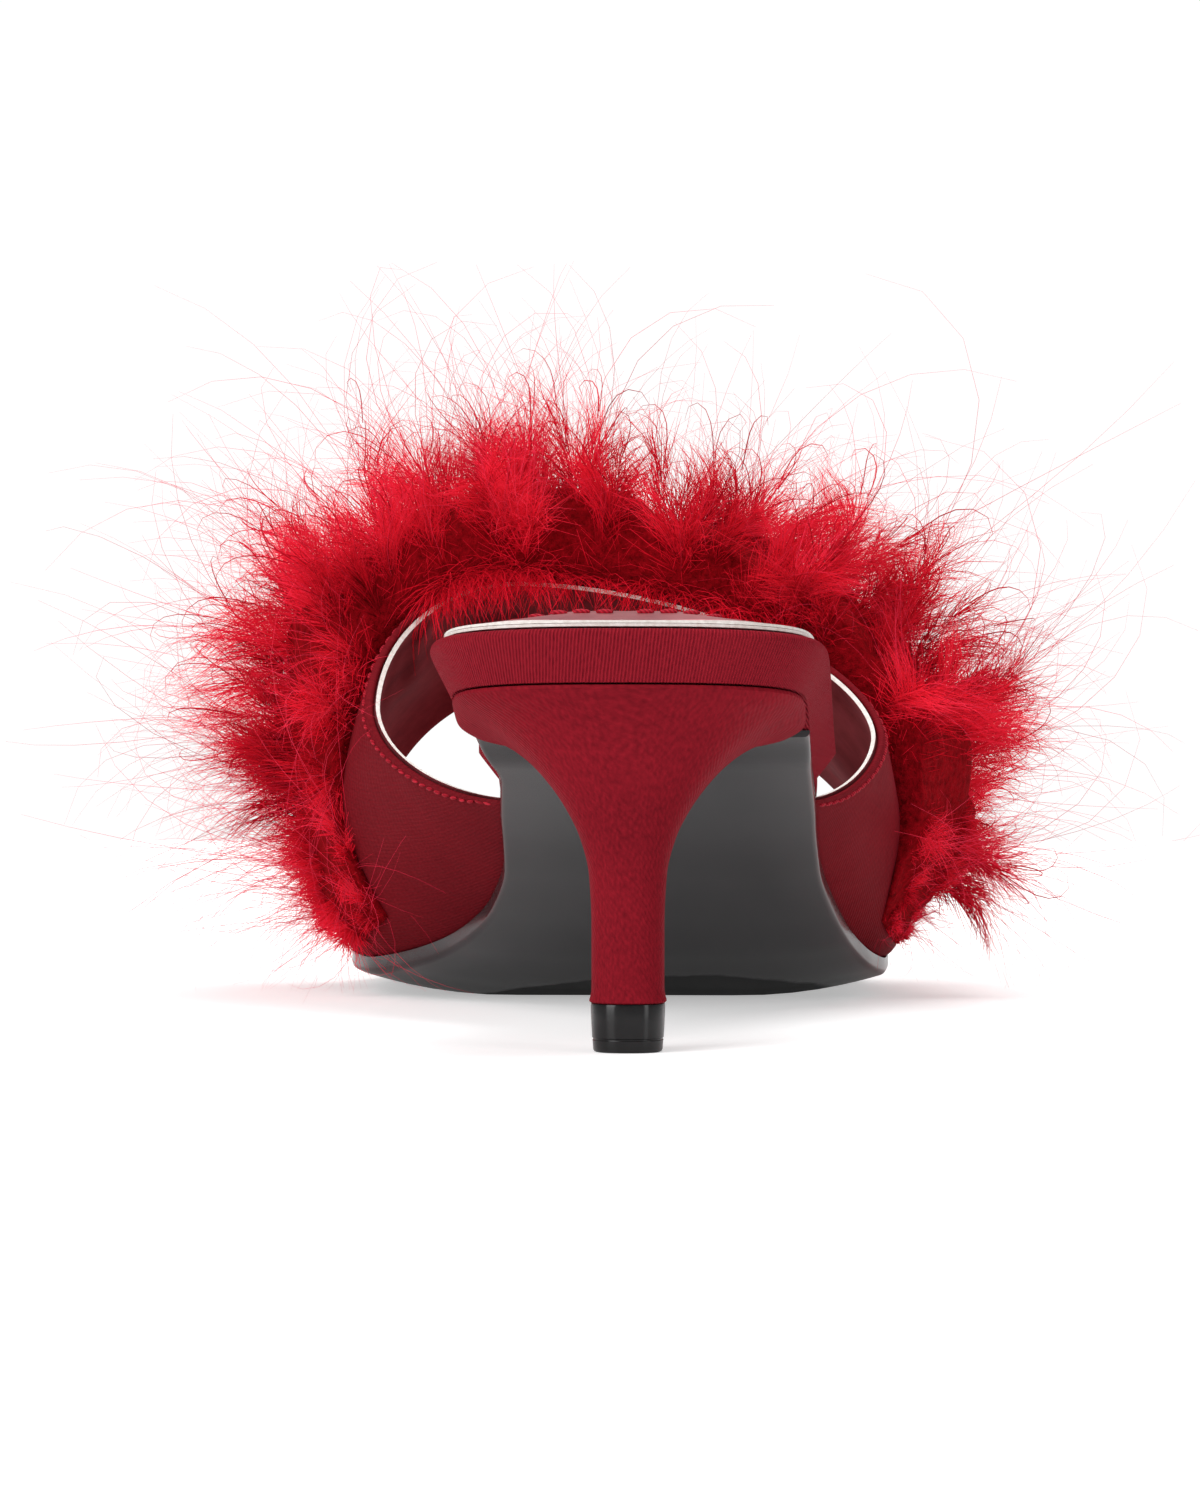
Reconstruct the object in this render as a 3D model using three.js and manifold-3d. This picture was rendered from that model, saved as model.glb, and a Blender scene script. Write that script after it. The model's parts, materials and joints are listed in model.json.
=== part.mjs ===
// A marabou slipper for the right foot: a backless, open-toed mule on a kitten heel.
// Millimetres, +Y from heel to toe, +Z up, +X to the outer (lateral) side of the foot.
// The origin is the middle of the heel tip's underside, on the floor.

import * as THREE from 'three';
import { mergeVertices } from 'three/addons/utils/BufferGeometryUtils.js';
import Module from 'manifold-3d';

const wasm = await Module();
wasm.setup();

// Driving dimensions of the last and the sole
const soleLength = 237; // back edge of the footbed to the tip of the toe
const heelHeight = 50.5; // floor to the underside of the footbed, at its back
const heelSetback = 20; // back edge of the footbed to the middle of the heel tip
const seatWidth = 48.2; // underside of the footbed, across the seat
const waistWidth = 44.8; // underside of the footbed, across the waist
const ballWidth = 81; // outsole, across the ball
const toeSpring = 7; // how far the tip of the toe stands off the floor
const cupDepth = 3.7; // how far the ball's edges stand above its flat middle

// Driving dimensions of the layers under the foot
const clearance = 0.3; // gap between two curved pieces that meet
const outsoleThickness = 2.4;
const outsoleRound = 0.6; // the rounding along the outsole's lower edge
const seatThickness = 7; // footbed, at the heel
const foreThickness = 3.5; // footbed, at the ball and the toe
const seatOverhang = 3; // how far the footbed's sides lean out, at the heel and the waist
const foreOverhang = 1; // the same, under the upper and at the toe
const footbedRound = 0.9; // the rounding along the footbed's top edge
const sockThickness = 1.2;
const sockMargin = 1.8; // from the footbed's edge in to the sock
const padHeight = 1.1; // how far the heel pad swells above the sock's edge
const padLength = 62; // from the back edge of the footbed to the pad's front
const padRamp = 9; // how far the pad takes to rise from its back edge

// Driving dimensions of the heel
const breastPlace = 47; // back edge of the footbed to the heel's front face
const stemWidth = 10.2;
const stemDepth = 11;
const tipHeight = 6.7;
const tipTaper = 0.5; // how far the tip narrows on each side, from its top to its underside
const tipLine = 1.8; // the moulded line round the tip, above its underside
const tipStep = 0.15; // how far the tip steps in at that line
const tipRound = 0.3; // the rounding along the tip's lower edge

// Driving dimensions of the upper and its feathers
const wall = 1.8; // upper, with its lining
const upperLip = 0.2; // outsole left bare outside the upper
const lastingEase = 0.5; // room between the upper's foot and the footbed, past the clearance
const instepHeight = 54.6; // top of the collar above the sole under it
const featherDepth = 19; // the dense feathers, measured out from the upper
const featherRear = 3; // how far they stand over the collar
const featherFront = 9; // how far they stand over the toe opening
const lockLength = 19; // a middling lock, past the dense feathers
const lockWidth = 7.5; // a middling lock, at its root
const lockRoot = 5; // how deep a lock stands in the dense feathers
const lockLift = 0.15; // how much the locks on the sides turn up, as a share of their length
const featherFloor = 3; // the lowest that feathers hang above the floor

// How many straight stretches each curve has
const endSteps = 5;
const heelSides = 28;
const archSteps = 34;
const bandSteps = 10;
const featherSteps = 6;
const lockSides = 4;

// The sole, a row for each section. along is a share of the sole's length, and rise of the
// heel height. spring and cup are shares of the toe spring and the cup depth. middle places
// the section sideways, as a share of the ball width. seat, waist and ball are the shares
// of those three widths that make up the section's own width.
const soleSections = [
  { along: 0.013, rise: 1.000, spring: 0.00, cup: 0.00, middle: 0.000, seat: 1.0, waist: 0.00, ball: 0.000 },
  { along: 0.063, rise: 0.969, spring: 0.00, cup: 0.00, middle: 0.000, seat: 1.0, waist: 0.00, ball: 0.000 },
  { along: 0.114, rise: 0.925, spring: 0.00, cup: 0.00, middle: 0.002, seat: 1.0, waist: 0.00, ball: 0.000 },
  { along: 0.190, rise: 0.826, spring: 0.00, cup: 0.05, middle: 0.018, seat: 0.5, waist: 0.49, ball: 0.000 },
  { along: 0.253, rise: 0.720, spring: 0.00, cup: 0.10, middle: 0.035, seat: 0.1, waist: 0.87, ball: 0.000 },
  { along: 0.338, rise: 0.563, spring: 0.00, cup: 0.15, middle: 0.033, seat: 0.0, waist: 1.00, ball: 0.000 },
  { along: 0.401, rise: 0.420, spring: 0.00, cup: 0.20, middle: 0.034, seat: 0.0, waist: 0.98, ball: 0.020 },
  { along: 0.464, rise: 0.276, spring: 0.00, cup: 0.28, middle: 0.030, seat: 0.0, waist: 0.86, ball: 0.140 },
  { along: 0.527, rise: 0.143, spring: 0.00, cup: 0.42, middle: 0.010, seat: 0.0, waist: 0.62, ball: 0.380 },
  { along: 0.591, rise: 0.042, spring: 0.00, cup: 0.68, middle: -0.027, seat: 0.0, waist: 0.28, ball: 0.720 },
  { along: 0.641, rise: 0.000, spring: 0.00, cup: 0.92, middle: -0.052, seat: 0.0, waist: 0.07, ball: 0.930 },
  { along: 0.684, rise: 0.000, spring: 0.00, cup: 1.00, middle: -0.065, seat: 0.0, waist: 0.00, ball: 1.000 },
  { along: 0.726, rise: 0.000, spring: 0.00, cup: 1.00, middle: -0.070, seat: 0.0, waist: 0.00, ball: 0.992 },
  { along: 0.802, rise: 0.000, spring: 0.08, cup: 0.85, middle: -0.073, seat: 0.0, waist: 0.00, ball: 0.992 },
  { along: 0.895, rise: 0.000, spring: 0.42, cup: 0.50, middle: -0.070, seat: 0.0, waist: 0.00, ball: 0.992 },
  { along: 0.996, rise: 0.000, spring: 1.00, cup: 0.00, middle: -0.065, seat: 0.0, waist: 0.00, ball: 0.992 },
];
const seatEnd = { along: 0.114, squareness: 3 }; // behind this the outline rounds to the seat's back
const toeEnd = { along: 0.726, squareness: 2.1 }; // past this it rounds to the tip of the toe
const flatShare = 0.45; // the part of the half width that lies flat on the floor

// The heel, a row for each ring from the seat down to the tip. level is a share of the height
// above the tip, tilt how much of the seat's slope the ring keeps. half, back and front lead
// from the stem's size, 0, to the seat's, 1. widest is where the ring is widest, on the same
// scale, and behind and ahead are how square it is towards the heel and the toe.
const heelRings = [
  { level: 1.000, tilt: 1.00, half: 1.000, back: 1.000, front: 1.000, widest: 1.0, behind: 3.0, ahead: 4.6 },
  { level: 0.972, tilt: 1.00, half: 0.955, back: 0.935, front: 0.960, widest: 1.0, behind: 3.0, ahead: 4.2 },
  { level: 0.920, tilt: 0.95, half: 0.750, back: 0.720, front: 0.770, widest: 0.8, behind: 2.8, ahead: 3.6 },
  { level: 0.840, tilt: 0.85, half: 0.530, back: 0.500, front: 0.580, widest: 0.5, behind: 2.6, ahead: 3.1 },
  { level: 0.750, tilt: 0.65, half: 0.350, back: 0.340, front: 0.410, widest: 0.3, behind: 2.5, ahead: 2.9 },
  { level: 0.635, tilt: 0.40, half: 0.175, back: 0.205, front: 0.255, widest: 0.1, behind: 2.4, ahead: 2.8 },
  { level: 0.535, tilt: 0.20, half: 0.070, back: 0.105, front: 0.135, widest: 0.0, behind: 2.4, ahead: 2.6 },
  { level: 0.420, tilt: 0.00, half: 0.010, back: 0.025, front: 0.050, widest: 0.0, behind: 2.4, ahead: 2.6 },
  { level: 0.250, tilt: 0.00, half: -0.008, back: -0.010, front: 0.010, widest: 0.0, behind: 2.4, ahead: 2.6 },
  { level: 0.050, tilt: 0.00, half: -0.008, back: -0.010, front: -0.003, widest: 0.0, behind: 2.4, ahead: 2.6 },
  { level: 0.000, tilt: 0.00, half: 0.000, back: 0.000, front: 0.000, widest: 0.0, behind: 2.4, ahead: 2.6 },
];

// The upper, a row for each hoop from the collar to the toe opening. foot and crest are the
// places, as shares of the sole's length, where the hoop meets the sole and where it is
// highest. height is a share of the instep height, above the sole under the crest. shift
// moves the crest sideways, and medial and lateral are the widest reach on each side, as
// shares of the ball width. The levels say how far up the hoop it is widest.
const upperHoops = [
  {
    foot: 0.317, crest: 0.538, height: 1.00, shift: -0.235,
    medial: 0.500, lateral: 0.428, medialLevel: 0.42, lateralLevel: 0.27,
  },
  {
    foot: 0.591, crest: 0.658, height: 0.98, shift: -0.210,
    medial: 0.590, lateral: 0.470, medialLevel: 0.28, lateralLevel: 0.22,
  },
  {
    foot: 0.810, crest: 0.772, height: 0.83, shift: -0.173,
    medial: 0.556, lateral: 0.432, medialLevel: 0.36, lateralLevel: 0.30,
  },
];
// How full the hoops are beside the sole and at the crown: 2 is an ellipse, more is squarer
const archFullness = { foot: 1.9, medialCrown: 2.05, lateralCrown: 1.72 };
const collarSweep = 0.5; // under 1, the collar runs forward before it climbs
const wideTurn = 0.32; // share of the hoop's points from the sole to where it is widest

// The feathers on the upper. Each edge is a share of the band, from the collar, 0, to the toe
// opening, 1, at the crest and at the sole.
const featherEdges = { rearCrest: 0.07, rearFoot: 0.5, frontCrest: 0.95, frontFoot: 0.93 };
const edgeSweep = 1.3; // over 1, the edges stay back before they run forward to the sole
// Their depth at the edges, beside the sole and on either side, as shares of the full depth,
// and the swells that run round the arch and along the foot
const featherForm = {
  edge: 0.35,
  foot: 0.35,
  footEnd: 0.25,
  medial: 1.08,
  lateral: 0.82,
  swells: [{ size: 0.09, around: 31, along: 4 }, { size: 0.07, around: 17, along: -9 }],
};
const bareFootSteps = 2; // straight stretches of the arch left bare above the sole, on each side

// The tufts of the feathers, a row for each course of them from the collar to the toe. band
// is where the course runs, from 0 to 1 across the feathers, count is its locks, lean throws
// them backward or forward, and reach is a share of the lock length.
const lockCourses = [
  { band: 0.03, count: 13, lean: -0.75, reach: 0.70 },
  { band: 0.20, count: 16, lean: -0.35, reach: 0.95 },
  { band: 0.42, count: 18, lean: -0.08, reach: 1.12 },
  { band: 0.62, count: 17, lean: 0.15, reach: 1.08 },
  { band: 0.82, count: 16, lean: 0.50, reach: 0.92 },
  { band: 0.98, count: 13, lean: 0.90, reach: 0.75 },
];

// A lock's own form, as shares of its length and width: where it starts to bend, how wide it
// is there, and how much of the bend it has there and at its tip
const lockShape = { middle: 0.5, middleWidth: 0.64, middleBend: 0.12, tipBend: 0.45 };

// How the locks differ from each other. around and band shift a lock's place, in shares of the
// step between the locks and of the feathers' width. The rest are shares of a lock's size.
const lockVariety = { around: 0.5, band: 0.08, shortest: 0.8, longer: 0.55, thinnest: 0.8, thicker: 0.4 };
const lockBend = { sideways: 0.7, lean: 0.4, droop: 0.1 }; // how much a lock may bend each way
const lowLocks = 0.65; // length of the locks beside the sole, as a share
const lowLocksEnd = 0.2; // share of the arch over which they grow to full length
const lockSeed = 4127;

// Small helpers for numbers

const mix = (from, to, share) => from + (to - from) * share;

const clamp = (value, low, high) => Math.min(Math.max(value, low), high);

const smooth = (value, from, to) => {
  const share = clamp((value - from) / (to - from), 0, 1);
  return share * share * (3 - 2 * share);
};

// A repeatable stream of numbers from 0 to 1
function numberStream(seed) {
  let state = seed;
  return () => {
    state = (state * 48271) % 2147483647;
    return state / 2147483647;
  };
}

// A curve through one column of a table that never swings past its rows
function curveOf(rows, key, column) {
  const places = rows.map((row) => row[key]);
  const values = rows.map((row) => row[column]);
  const last = rows.length - 1;
  const steps = places.slice(1).map((place, i) => (values[i + 1] - values[i]) / (place - places[i]));
  const slopes = values.map((value, i) => {
    if (i === 0 || i === last || steps[i - 1] * steps[i] <= 0) return 0;
    const before = places[i] - places[i - 1];
    const after = places[i + 1] - places[i];
    const weight = (before + 2 * after) / (3 * (before + after));
    return (steps[i - 1] * steps[i]) / (weight * steps[i] + (1 - weight) * steps[i - 1]);
  });
  slopes[0] = steps[0];
  slopes[last] = steps[last - 1];
  return (place) => {
    if (place <= places[0]) return values[0] + slopes[0] * (place - places[0]);
    if (place >= places[last]) return values[last] + slopes[last] * (place - places[last]);
    const i = places.findIndex((next) => next > place) - 1;
    const width = places[i + 1] - places[i];
    const t = (place - places[i]) / width;
    const near = (1 + 2 * t) * (1 - t) ** 2 * values[i] + t * (1 - t) ** 2 * width * slopes[i];
    const far = t * t * (3 - 2 * t) * values[i + 1] + t * t * (t - 1) * width * slopes[i + 1];
    return near + far;
  };
}

// The form of the sole

const toY = (along) => along * soleLength - heelSetback;
const toAlong = (y) => (y + heelSetback) / soleLength;

const soleColumn = {};
for (const column of ['rise', 'spring', 'cup', 'middle', 'seat', 'waist', 'ball']) {
  soleColumn[column] = curveOf(soleSections, 'along', column);
}

const bedHeight = outsoleThickness + clearance; // footbed's underside above the floor, at the ball

const middleAt = (along) => soleColumn.middle(along) * ballWidth;

function fullHalf(along) {
  const seat = soleColumn.seat(along) * seatWidth;
  const waist = soleColumn.waist(along) * waistWidth;
  const ball = soleColumn.ball(along) * ballWidth;
  return (seat + waist + ball) / 2;
}

// How far a point across the sole is lifted by the cupping
function cupLift(x, along) {
  const share = Math.abs(x - middleAt(along)) / fullHalf(along);
  const ramp = Math.max(0, (share - flatShare) / (1 - flatShare));
  return cupDepth * Math.max(0, soleColumn.cup(along)) * Math.min(ramp, 1.2) ** 2;
}

// Underside of the footbed
function bedZ(x, y) {
  const along = toAlong(y);
  const rise = soleColumn.rise(along) * (heelHeight - bedHeight);
  return bedHeight + rise + soleColumn.spring(along) * toeSpring + cupLift(x, along);
}

// 0 where the upper covers the footbed's edge, 1 where the edge shows
function bareEdge(along) {
  const rear = upperHoops[0].foot;
  const front = upperHoops[2].foot;
  return Math.max(1 - smooth(along, rear - 0.035, rear - 0.005), smooth(along, front + 0.01, front + 0.07));
}

const upperInset = upperLip + wall + clearance + lastingEase;
const footbedInset = (along) => upperInset * (1 - bareEdge(along));

function footbedOverhang(along) {
  const rear = upperHoops[0].foot;
  return mix(seatOverhang, foreOverhang, smooth(along, rear, rear + 0.14));
}

function footbedThickness(along) {
  return mix(seatThickness, foreThickness, smooth(along, 0.1, soleSections[10].along));
}

const footbedZ = (x, y) => bedZ(x, y) + footbedThickness(toAlong(y));

// Places of the sole's sections, with the two ends rounded
function soleStations() {
  const stations = [];
  const backShare = soleSections[0].along;
  const tipShare = soleSections[soleSections.length - 1].along;
  for (let i = 0; i < endSteps; i += 1) {
    const angle = ((i / endSteps) * Math.PI) / 2;
    const power = 2 / seatEnd.squareness;
    const along = seatEnd.along - (seatEnd.along - backShare) * Math.cos(angle) ** power;
    stations.push({ along, close: Math.sin(angle) ** power });
  }
  const between = soleSections.filter((row) => row.along >= seatEnd.along && row.along <= toeEnd.along);
  between.forEach((row, i) => {
    stations.push({ along: row.along, close: 1 });
    const next = between[i + 1];
    if (next) stations.push({ along: (row.along + next.along) / 2, close: 1 });
  });
  for (let i = 1; i <= endSteps; i += 1) {
    const angle = ((i / endSteps) * Math.PI) / 2;
    const power = 2 / toeEnd.squareness;
    const along = toeEnd.along + (tipShare - toeEnd.along) * Math.sin(angle) ** power;
    stations.push({ along, close: i === endSteps ? 0 : Math.cos(angle) ** power });
  }
  return stations;
}

// The same places from a straight cut at the heel's breast forward
function stationsFromBreast() {
  const cut = (breastPlace + clearance) / soleLength;
  const ahead = soleStations().filter((station) => station.along > cut + clearance / soleLength);
  return [{ along: cut, close: 1 }, ...ahead];
}

// Outline of the sole, moved out by a distance that may change along it
function outlineRows(stations, distance) {
  const point = (station, side) => {
    const x = middleAt(station.along) + side * fullHalf(station.along) * station.close;
    return new THREE.Vector2(x, toY(station.along));
  };
  const last = stations.length - 1;
  const pointBefore = (i, side) => {
    if (i > 0) return point(stations[i - 1], side);
    return stations[0].close ? point(stations[0], side) : point(stations[1], -side);
  };
  return stations.map((station, i) => {
    const ends = [-1, 1].map((side) => {
      const before = pointBefore(i, side);
      const after = i < last ? point(stations[i + 1], side) : point(stations[last - 1], -side);
      const tangent = after.sub(before).normalize();
      const outward = new THREE.Vector2(side * tangent.y, -side * tangent.x);
      return point(station, side).addScaledVector(outward, distance(station.along));
    });
    return { left: ends[0], right: ends[1] };
  });
}

// Meshes and solids

function geometryOf(points, faces) {
  const geometry = new THREE.BufferGeometry();
  geometry.setAttribute('position', new THREE.Float32BufferAttribute(points.flat(), 3));
  geometry.setIndex(faces.flat());
  const merged = mergeVertices(geometry, 1e-4);
  const index = Array.from(merged.index.array);
  const kept = [];
  for (let i = 0; i < index.length; i += 3) {
    const [a, b, c] = index.slice(i, i + 3);
    if (a !== b && b !== c && c !== a) kept.push(a, b, c);
  }
  merged.setIndex(signedVolume(merged, kept) < 0 ? kept.reverse() : kept);
  return merged;
}

function signedVolume(geometry, index) {
  const position = geometry.attributes.position;
  const corner = [new THREE.Vector3(), new THREE.Vector3(), new THREE.Vector3()];
  let volume = 0;
  for (let i = 0; i < index.length; i += 3) {
    corner.forEach((vector, k) => vector.fromBufferAttribute(position, index[i + k]));
    volume += corner[0].dot(corner[1].clone().cross(corner[2])) / 6;
  }
  return volume;
}

// Two triangles between four corners that go round
const quad = (a, b, c, d) => [[a, b, c], [a, c, d]];

// A closed solid of rings, all with as many points, capped at both ends by a point in the middle
function ringSolid(rings) {
  const sides = rings[0].length;
  const points = rings.flat();
  const faces = [];
  for (let ring = 0; ring + 1 < rings.length; ring += 1) {
    for (let side = 0; side < sides; side += 1) {
      const next = (side + 1) % sides;
      const low = ring * sides;
      const high = low + sides;
      faces.push(...quad(low + side, low + next, high + next, high + side));
    }
  }
  for (const [ring, turned] of [[0, true], [rings.length - 1, false]]) {
    const middle = [0, 1, 2].map((axis) => rings[ring].reduce((sum, point) => sum + point[axis], 0) / sides);
    const centre = points.push(middle) - 1;
    for (let side = 0; side < sides; side += 1) {
      const here = ring * sides + side;
      const next = ring * sides + ((side + 1) % sides);
      faces.push(turned ? [centre, next, here] : [centre, here, next]);
    }
  }
  return geometryOf(points, faces);
}

// A closed solid of layers. Each layer is a grid of points as rows; the first and last are
// closed by their grids, and all are joined along their edges.
function layeredSolid(layers) {
  const rows = layers[0].length;
  const columns = layers[0][0].length;
  const points = layers.flat(2);
  const at = (layer, row, column) => (layer * rows + row) * columns + column;
  const faces = [];
  for (const [layer, turned] of [[0, true], [layers.length - 1, false]]) {
    for (let row = 0; row + 1 < rows; row += 1) {
      for (let column = 0; column + 1 < columns; column += 1) {
        const around = [
          at(layer, row, column),
          at(layer, row, column + 1),
          at(layer, row + 1, column + 1),
          at(layer, row + 1, column),
        ];
        const pair = quad(...around);
        faces.push(...(turned ? pair.map(([a, b, c]) => [a, c, b]) : pair));
      }
    }
  }
  const edge = [];
  for (let column = 0; column < columns - 1; column += 1) edge.push([0, column]);
  for (let row = 0; row < rows - 1; row += 1) edge.push([row, columns - 1]);
  for (let column = columns - 1; column > 0; column -= 1) edge.push([rows - 1, column]);
  for (let row = rows - 1; row > 0; row -= 1) edge.push([row, 0]);
  for (let layer = 0; layer + 1 < layers.length; layer += 1) {
    edge.forEach((here, i) => {
      const next = edge[(i + 1) % edge.length];
      const [low, lowNext] = [at(layer, ...here), at(layer, ...next)];
      const [high, highNext] = [at(layer + 1, ...here), at(layer + 1, ...next)];
      faces.push(...quad(low, lowNext, highNext, high));
    });
  }
  return geometryOf(points, faces);
}

// A layer that covers the sole's outline, at a height that may change over it
function soleLayer(stations, columns, distance, height) {
  return outlineRows(stations, distance).map(({ left, right }) =>
    columns.map((column) => {
      const point = left.clone().lerp(right, (column + 1) / 2);
      return [point.x, point.y, height(point.x, point.y)];
    }),
  );
}

const soleColumns = [-1, -0.82, -0.64, -flatShare, 0, flatShare, 0.64, 0.82, 1];
const sockColumns = [-1, -0.78, -0.4, 0, 0.4, 0.78, 1];

// Pieces under the foot

function outsole() {
  const stations = stationsFromBreast();
  const under = (x, y) => bedZ(x, y) - bedHeight;
  return layeredSolid([
    soleLayer(stations, soleColumns, () => -outsoleRound, under),
    soleLayer(stations, soleColumns, () => 0, (x, y) => under(x, y) + outsoleRound),
    soleLayer(stations, soleColumns, () => 0, (x, y) => under(x, y) + outsoleThickness),
  ]);
}

function footbed() {
  const stations = soleStations();
  const lower = (along) => -footbedInset(along);
  const upper = (along) => lower(along) + footbedOverhang(along);
  return layeredSolid([
    soleLayer(stations, soleColumns, lower, bedZ),
    soleLayer(stations, soleColumns, upper, (x, y) => footbedZ(x, y) - footbedRound),
    soleLayer(stations, soleColumns, (along) => upper(along) - footbedRound, footbedZ),
  ]);
}

function sock() {
  const stations = soleStations();
  const edge = (along) => footbedOverhang(along) - footbedInset(along) - sockMargin;
  const under = (x, y) => footbedZ(x, y) + clearance;
  const padded = (x, y) => {
    const along = toAlong(y);
    const front = 1 - smooth(along * soleLength, padLength * 0.6, padLength);
    const back = smooth(along * soleLength, sockMargin, sockMargin + padRamp);
    const across = 1 - smooth(Math.abs(x - middleAt(along)) / fullHalf(along), 0.45, 1);
    return under(x, y) + sockThickness + padHeight * front * back * across;
  };
  return layeredSolid([
    soleLayer(stations, sockColumns, edge, under),
    soleLayer(stations, sockColumns, edge, padded),
  ]);
}

// A ring round the heel's axis, squarer where its corner value is higher
function heelRing({ half, back, front, widest, behind, ahead }, height) {
  const ring = [];
  for (let i = 0; i < heelSides; i += 1) {
    const angle = (i / heelSides) * 2 * Math.PI;
    const inFront = Math.sin(angle) > 0;
    const power = 2 / (inFront ? ahead : behind);
    const x = half * Math.sign(Math.cos(angle)) * Math.abs(Math.cos(angle)) ** power;
    const reach = inFront ? front - widest : back + widest;
    const y = widest + reach * Math.sign(Math.sin(angle)) * Math.abs(Math.sin(angle)) ** power;
    ring.push([x, y, height(y)]);
  }
  return ring;
}

function heel() {
  const seat = {
    half: seatWidth / 2,
    back: heelSetback - soleSections[0].along * soleLength,
    front: breastPlace - heelSetback,
    widest: toY(seatEnd.along),
  };
  const seatZ = (y) => bedZ(0, y) - clearance;
  const rings = heelRings.map((row) => {
    const size = {
      ...row,
      half: mix(stemWidth / 2, seat.half, row.half),
      back: mix(stemDepth / 2, seat.back, row.back),
      front: mix(stemDepth / 2, seat.front, row.front),
      widest: seat.widest * row.widest,
    };
    const level = mix(tipHeight, seatZ(0), row.level);
    return heelRing(size, (y) => level + row.tilt * (seatZ(y) - seatZ(0)));
  });
  return ringSolid(rings);
}

function heelTip() {
  const { behind, ahead } = heelRings[heelRings.length - 1];
  const levels = [
    { z: tipHeight, inset: 0 },
    { z: tipLine, inset: tipTaper - tipStep },
    { z: tipLine - tipStep, inset: tipTaper },
    { z: tipRound, inset: tipTaper },
    { z: 0, inset: tipTaper + tipRound },
  ];
  const rings = levels.map(({ z, inset }) => {
    const size = {
      half: stemWidth / 2 - inset,
      back: stemDepth / 2 - inset,
      front: stemDepth / 2 - inset,
      widest: 0,
      behind,
      ahead,
    };
    return heelRing(size, () => z);
  });
  return ringSolid(rings);
}

// The upper

// One number of the hoops, at a place between the collar, 0, and the toe opening, 1
function hoopValue(column, band) {
  const [collar, ball, toe] = upperHoops.map((row) => row[column]);
  const bend = 2 * (collar - 2 * ball + toe);
  return collar + band * (toe - collar) + bend * band * (band - 1);
}

// A point of the upper. round goes from the medial foot, 0, over the crest to the lateral
// foot, 1. inset moves it into the wall.
function upperPoint(round, band, inset) {
  const hoop = {};
  for (const column of Object.keys(upperHoops[0])) hoop[column] = hoopValue(column, band);
  const side = round < 0.5 ? -1 : 1;
  const climb = round < 0.5 ? round * 2 : 2 - round * 2;
  const footAlong = hoop.foot;
  const footX = middleAt(footAlong) + side * (fullHalf(footAlong) - upperLip - inset);
  const footZ = bedZ(footX, toY(footAlong));
  const crestX = hoop.shift * ballWidth;
  const crestZ = bedZ(crestX, toY(hoop.crest)) + hoop.height * instepHeight - inset;
  const reach = (side < 0 ? hoop.medial : hoop.lateral) * ballWidth - inset;
  const wideLevel = side < 0 ? hoop.medialLevel : hoop.lateralLevel;
  const wideX = side * reach;
  const wideZ = mix(footZ, crestZ, wideLevel);
  let x;
  let z;
  if (climb < wideTurn) {
    const angle = ((climb / wideTurn) * Math.PI) / 2;
    const power = 2 / archFullness.foot;
    x = mix(footX, wideX, Math.sin(angle) ** power);
    z = mix(wideZ, footZ, Math.cos(angle) ** power);
  } else {
    const angle = (((climb - wideTurn) / (1 - wideTurn)) * Math.PI) / 2;
    const power = 2 / (side < 0 ? archFullness.medialCrown : archFullness.lateralCrown);
    x = mix(crestX, wideX, Math.cos(angle) ** power);
    z = mix(wideZ, crestZ, Math.sin(angle) ** power);
  }
  const lift = clamp((z - footZ) / (crestZ - footZ), 0, 1);
  const along = mix(hoop.foot, hoop.crest, lift ** collarSweep);
  return [x, toY(along), z];
}

function upperLayer(inset) {
  const rows = [];
  for (let i = 0; i <= bandSteps; i += 1) {
    const row = [];
    for (let k = 0; k <= archSteps; k += 1) row.push(upperPoint(k / archSteps, i / bandSteps, inset));
    rows.push(row);
  }
  return rows;
}

const vamp = () => layeredSolid([upperLayer(wall), upperLayer(0)]);

// The feathers

// Where a point of the feathers lies on the upper. round is as for the upper, and band goes
// from the feathers' rear edge, 0, to their front edge, 1.
function featherPlace(round, band) {
  const onArch = mix(bareFootSteps, archSteps - bareFootSteps, round) / archSteps;
  const low = (1 - Math.sin(Math.PI * onArch)) ** edgeSweep;
  const rear = mix(featherEdges.rearCrest, featherEdges.rearFoot, low);
  const front = mix(featherEdges.frontCrest, featherEdges.frontFoot, low);
  return { round: onArch, band: mix(rear, front, band) };
}

// A point within the upper's wall under the feathers, with the directions out and forward
function featherSkin(round, band) {
  const place = featherPlace(round, band);
  const at = (r, b) => new THREE.Vector3(...upperPoint(clamp(r, 0, 1), b, wall / 2));
  const step = 0.01;
  const point = at(place.round, place.band);
  const around = at(place.round + step, place.band).sub(at(place.round - step, place.band));
  const forward = at(place.round, place.band + step).sub(at(place.round, place.band - step));
  const outward = around.clone().cross(forward).normalize();
  if (outward.dot(point.clone().sub(new THREE.Vector3(0, point.y, footingZ(point.y)))) < 0) outward.negate();
  return { point, outward, forward: forward.normalize(), around: around.normalize() };
}

const footingZ = (y) => bedZ(middleAt(toAlong(y)), y) + instepHeight * 0.3;

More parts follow.
